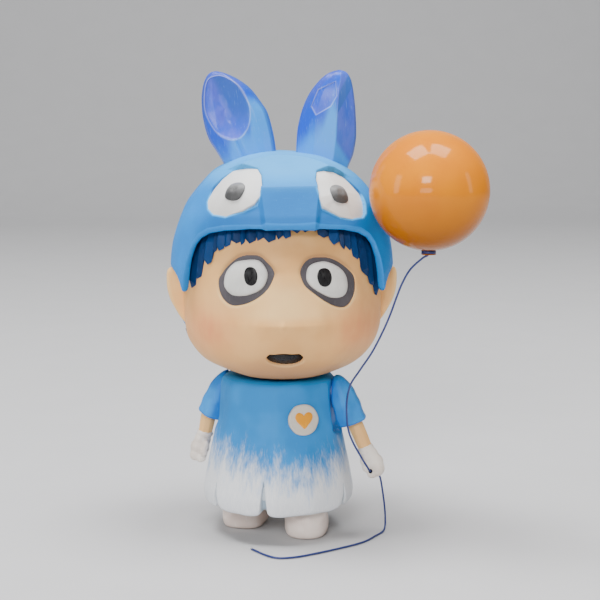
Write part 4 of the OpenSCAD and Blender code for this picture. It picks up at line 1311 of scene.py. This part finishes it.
def make_feet():
    for name, (side, centre, yaw, power, long, wide) in FEET.items():
        az, el = np.meshgrid(np.linspace(-np.pi, np.pi, 150, endpoint=False), np.radians(np.linspace(-89, 89, 110)))
        d = directions(az, el)
        up = d[..., 2] > 0
        z_power = np.where(up, 2.6, 3.3)
        flat = (np.abs(d[..., 0] / wide) ** power + np.abs(d[..., 1] / long) ** power) ** (1 / power)
        reach = (flat ** z_power + np.abs(d[..., 2] / np.where(up, 17.0, 9.0)) ** z_power) ** (-1 / z_power)
        cuts = [([side * 0.55, -0.75, 0.36], 13.4), ([-side * 0.8, -0.55, 0.25], 13.6), ([0, -0.83, 0.56], 14.0),
                ([side * 0.95, 0.1, 0.3], 10.6), ([-side * 0.95, 0.1, 0.25], 10.8)]
        for normal, offset in cuts:
            n = np.array(normal) / np.linalg.norm(normal)
            reach = smooth_min(reach, plane_reach(d, n, offset), 0.7)
        p = np.array([0, 0, 7.0]) + d * reach[..., None]
        p[..., 2] = smooth_max(p[..., 2], np.zeros(p.shape[:2]), 1.4)
        p[..., 2] = np.where(d[..., 2] < -0.93, 0, p[..., 2])
        p = turned(p, math.radians(yaw)) + [*centre, 0]
        # Painted shade along the sole and on the inner side; painted light on the top.
        masks = {
            "shade": np.clip(0.4 * step(1.8 - p[..., 2], 0, 1.8) + 0.3 * step(side * d[..., 0] * -1, 0.5, 0.8), 0, 1),
            "edge": 0.5 * step(d[..., 2], 0.1, 0.8),
        }
        low, high = box_mm(f"foot_{name}")
        leg = (low + high) / 2 - AXIS
        ring = np.linspace(0, 2 * np.pi, 48, endpoint=False)
        shaft = lathe([(6.4, 8), (6.9, 9), (6.9, 20), (6.6, 22.9), (4, 23), (4, 28.4), (3.4, 29)], [leg[0], leg[1], 0], 48)
        points, faces, values = capped(p, masks)
        more, more_faces, more_values = capped(shaft, {k: np.full(shaft.shape[:2], 0.2) for k in masks})
        faces = faces + [[i + len(points) for i in f] for f in more_faces]
        values = {k: np.concatenate([values[k], more_values[k]]) for k in values}
        add_piece(f"foot_shoe_{name}", np.concatenate([points, more]), faces, "feet", "body", [f"foot_{name}"], masks=values)


# ---------------------------------------------------------------- arms

SLEEVE_L = 17.0
BALL_X = 30.8
SEAM_GAP = 0.4
# Each arm: its side, the lean of its sleeve and forearm, the forearm's length and its step outwards
ARMS = {"right": (-1, 23.0, 12.0, 10.4, 1.5), "left": (1, 20.0, 24.0, 14.0, 1.0)}
SLEEVE_PROFILE = [
    [8.7, 0.1], [8.2, 1.4], [7.2, 2.6], [3.5, 4.8], [0, 6.1], [-2.4, 6.6], [-8, 7.1], [-15.4, 7.4], [-16.5, 7.2],
    [-17, 6.6], [-16.6, 5.6], [-15.0, 4.6], [-14.6, 0.2],
]


def lean_axes(side, lean):
    """Columns of a frame whose -Z runs down an arm that leans out by lean degrees."""
    a = math.radians(-side * lean)
    return np.array([[math.cos(a), 0, math.sin(a)], [0, 1, 0], [-math.sin(a), 0, math.cos(a)]])


def sleeve_points(name, local):
    """Points of a sleeve in its own frame as points about the body's axis."""
    side, lean = ARMS[name][:2]
    return local @ lean_axes(side, lean).T + np.array([side * BALL_X, 0, SHOULDER_Z])


def forearm_points(name, local):
    """Points of a forearm or hand in the forearm's frame as points about the body's axis."""
    side, _, lean, _, out = ARMS[name]
    elbow = sleeve_points(name, np.array([0, 0, -SLEEVE_L])) + [side * out, 0, 0]
    return local @ lean_axes(side, lean).T + elbow


def make_sleeves():
    for name, (side, *_) in ARMS.items():
        ring = np.linspace(0, 2 * np.pi, 160, endpoint=False)
        knots = np.array(SLEEVE_PROFILE)
        share = np.linspace(0, len(knots) - 1, 96)
        z = smooth_levels(share, np.arange(len(knots)), knots[:, 0])
        r = smooth_levels(share, np.arange(len(knots)), knots[:, 1])
        radius = r[:, None] * np.ones(len(ring))
        random = np.random.default_rng(20 + side)
        for turn in np.linspace(0, 2 * np.pi, 6, endpoint=False) + random.uniform(-0.25, 0.25, 6):
            facing = np.cos(ring - turn)[None, :]
            flat = np.where(facing > 0.3, (r[:, None] * 0.93) / np.maximum(facing, 0.3), 1e3)
            radius = smooth_min(radius, flat, 0.35)
        local = np.stack([radius * np.cos(ring), 1.08 * radius * np.sin(ring), z[:, None] * np.ones(len(ring))], -1)
        local = local + 0.18 * np.sin(local[..., 2:] * 0.7 + side) * step(-local[..., 2:], 0, 6) * [1, 0.4, 0]
        own = sleeve_points(name, local)
        flush = side * own[..., 0]
        face = RECESS_X[name] + SEAM_GAP
        own[..., 0] = side * np.maximum(flush, face)
        # Painted shade in the gap along the flat seat and at the cuff's lower rim.
        seam = bell(flush - face, 1.0)
        low = step(-SLEEVE_L + 1.2 - local[..., 2], 0, 0.8)
        masks = {"shade": np.clip(0.9 * seam + 0.45 * low, 0, 1), "edge": 0.0 * seam}
        points, faces, values = capped(turned(own, BODY_YAW), masks)
        add_piece(f"sleeve_cuff_{name}", points, faces, "sleeves", f"arm_{name}", [f"sleeve_{name}"], masks=values)


def make_forearms():
    for name, (_, _, _, length, _) in ARMS.items():
        ring = np.linspace(0, 2 * np.pi, 72, endpoint=False)
        z = np.linspace(4.8, -length - 0.8, 40)
        r = 3.85 - 0.25 * bell(z + length, 3.5) + 0.1 * bell(z + 3, 3)
        radius = r[:, None] * np.ones(len(ring))
        for turn in np.linspace(0, 2 * np.pi, 8, endpoint=False) + 0.3:
            facing = np.cos(ring - turn)[None, :]
            radius = smooth_min(radius, np.where(facing > 0.3, (r[:, None] - 0.18) / np.maximum(facing, 0.3), 1e3), 0.3)
        local = np.stack([radius * np.cos(ring), radius * np.sin(ring), z[:, None] * np.ones(len(ring))], -1)
        own = forearm_points(name, local)
        shade = 0.5 * step(local[..., 2], -2.0, 1.0)
        # The forearms take the second mask as an even lighter tint all over.
        masks = {"shade": shade, "edge": 0.25 + 0 * shade, "blush": 0 * shade}
        points, faces, values = capped(turned(own, BODY_YAW), masks)
        add_piece(f"forearm_skin_{name}", points, faces, "skin", f"arm_{name}", [f"forearm_{name}"], masks=values)


def blob_cloud(name, balls, piece_name, nodes, voxel=0.42, smooth=4):
    """One smooth hand round overlapping balls given as [x, y, z, rx, ry, rz] below its wrist."""
    points, faces = [], []
    az, el = np.meshgrid(np.linspace(-np.pi, np.pi, 32, endpoint=False), np.radians(np.linspace(-88, 88, 18)))
    d = directions(az, el)
    for x, y, z, rx, ry, rz in balls:
        local = np.array([x, y, z - ARMS[name][3]]) + d * [rx, ry, rz]
        found, made, _ = capped(turned(forearm_points(name, local), BODY_YAW))
        faces += [[i + len(points) for i in f] for f in made]
        points += list(found)
    piece = add_piece(piece_name, np.array(points), faces, "gloves", f"arm_{name}", nodes)
    remesh = piece.modifiers.new("join", "REMESH")
    remesh.mode = "VOXEL"
    remesh.voxel_size = voxel * MM
    remesh.use_smooth_shade = True
    soften = piece.modifiers.new("soften", "SMOOTH")
    soften.iterations = smooth
    soften.factor = 0.5
    return piece


def make_hands():
    for name, (side, *_) in ARMS.items():
        s = side
        balls = [
            [0, 0, 0.2, 4.2, 4.1, 2.4], [s * 0.6, 0, -3.6, 4.3, 4.2, 4.4], [s * 1.1, -0.3, -7.8, 4.9, 4.8, 4.8],
            [s * 1.0, -0.6, -11.2, 4.4, 4.5, 3.9], [-s * 1.0, -2.8, -12.2, 2.9, 2.8, 2.6], [s * 2.0, -2.9, -11.8, 2.9, 2.6, 2.9],
            [-s * 2.7, -3.5, -5.4, 1.8, 1.8, 2.8], [-s * 2.6, -4.6, -8.4, 1.9, 1.7, 2.3],
        ]
        blob_cloud(name, balls, f"hand_fist_{name}", [f"hand_{name}"])


# ---------------------------------------------------------------- balloon

def lathe(profile, middle, columns=96):
    """Rings of a turned solid from [radius, z] points."""
    ring = np.linspace(0, 2 * np.pi, columns, endpoint=False)
    p = np.asarray(profile, float)
    return middle + np.stack([
        p[:, :1] * np.cos(ring), p[:, :1] * np.sin(ring), p[:, 1:] * np.ones(columns),
    ], -1)


def make_balloon():
    az, el = np.meshgrid(np.linspace(-np.pi, np.pi, 220, endpoint=False), np.radians(np.linspace(-86.5, 89.5, 160)))
    d = directions(az, el)
    pull = 1 - 0.004 * bell(np.degrees(el) + 90, 16)
    points, faces, values = capped(
        BALLOON_CENTRE + d * (BALLOON_R * pull)[..., None],
        # Painted shade, darker towards the bottom of the ball.
        {"low": 0.9 * step(-d[..., 2], -0.15, 0.95)},
    )
    add_piece("balloon_ball", points, faces, "balloon", "arm_left", ["balloon_shell"], masks=values)
    r = BALLOON_R
    profile = [
        (2.2, -r + 1.5), (2.4, -r - 0.2), (2.6, -r - 0.8), (3.1, -r - 1.2), (3.5, -r - 1.35), (3.65, -r - 1.55),
        (3.4, -r - 1.75), (2.8, -r - 1.7), (1.6, -r - 1.35), (1.0, -r - 0.9), (0.8, -r + 0.2),
    ]
    # Painted shade over the whole lip under the ball.
    points, faces, values = capped(lathe(profile, BALLOON_CENTRE), {"low": np.full((len(profile), 96), 0.8)})
    add_piece("balloon_lip", points, faces, "balloon", "arm_left", ["balloon_nozzle"], masks=values)


make_head()
make_eyes()
make_mouth()
make_elf_ears()
make_hood()
make_hood_eyes()
make_hood_ears()
make_hair()
make_tunic()
make_badge()
make_feet()
make_sleeves()
make_forearms()
make_hands()
make_balloon()

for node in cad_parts.values():
    if not node.hide_render:
        for part in node.material_slots:
            part.material = MATERIALS["inner_plastic"]


# ---------------------------------------------------------------- floor and light

def make_stage():
    """A pale paper sweep: flat under the figure and curving up behind it."""
    bend = np.radians(np.linspace(0, 90, 16))
    profile = [(-3.0, 0.0), *[(1.6 + 0.7 * math.sin(a), 0.7 - 0.7 * math.cos(a)) for a in bend], (2.3, 3.2)]
    points = [(x, y, z) for y, z in profile for x in (-3.5, 3.5)]
    faces = [(2 * i, 2 * i + 1, 2 * i + 3, 2 * i + 2) for i in range(len(profile) - 1)]
    sweep = bpy.data.meshes.new("paper_sweep")
    sweep.from_pydata(points, [], faces)
    sweep.polygons.foreach_set("use_smooth", [True] * len(faces))
    look = Look("sweep_paper", 0.75, specular=0.1)
    soft = look.noise(40, detail=2)
    sweep.materials.append(look.finish(look.mix(soft, (0.56, 0.56, 0.57), (0.59, 0.59, 0.60))))
    piece = bpy.data.objects.new("paper_sweep", sweep)
    bpy.context.scene.collection.objects.link(piece)
    piece.location.z = -0.0001


def area_light(name, where, target, size, power, colour=(1, 1, 1)):
    light = bpy.data.lights.new(name, "AREA")
    light.shape = "RECTANGLE"
    light.size, light.size_y = size
    light.energy = power
    light.color = colour
    piece = bpy.data.objects.new(name, light)
    piece.location = where
    away = Vector(where) - Vector(target)
    piece.rotation_euler = away.to_track_quat("Z", "Y").to_euler()
    bpy.context.scene.collection.objects.link(piece)


def make_lights():
    target = (0, 0, 0.12)
    area_light("key_panel_left", (-0.50, -0.12, 1.90), target, (0.86, 0.80), 42)
    area_light("key_panel_right", (0.46, -0.12, 1.90), target, (0.86, 0.80), 34)
    area_light("fill_front", (-0.45, -2.10, 1.15), target, (0.7, 0.5), 31)
    area_light("fill_low", (-0.25, -1.30, 0.28), (0, 0, 0.03), (0.5, 0.2), 2.4)
    area_light("fill_left", (-1.4, -0.5, 0.5), target, (0.35, 0.8), 5, (0.95, 0.97, 1))
    area_light("fill_right", (1.5, -0.4, 0.5), target, (0.25, 0.8), 2.2, (1, 0.97, 0.93))
    world = bpy.data.worlds.new("studio")
    world.use_nodes = True
    world.node_tree.nodes["Background"].inputs[0].default_value = (1, 1, 1, 1)
    world.node_tree.nodes["Background"].inputs[1].default_value = 0.06
    bpy.context.scene.world = world


make_stage()
make_lights()
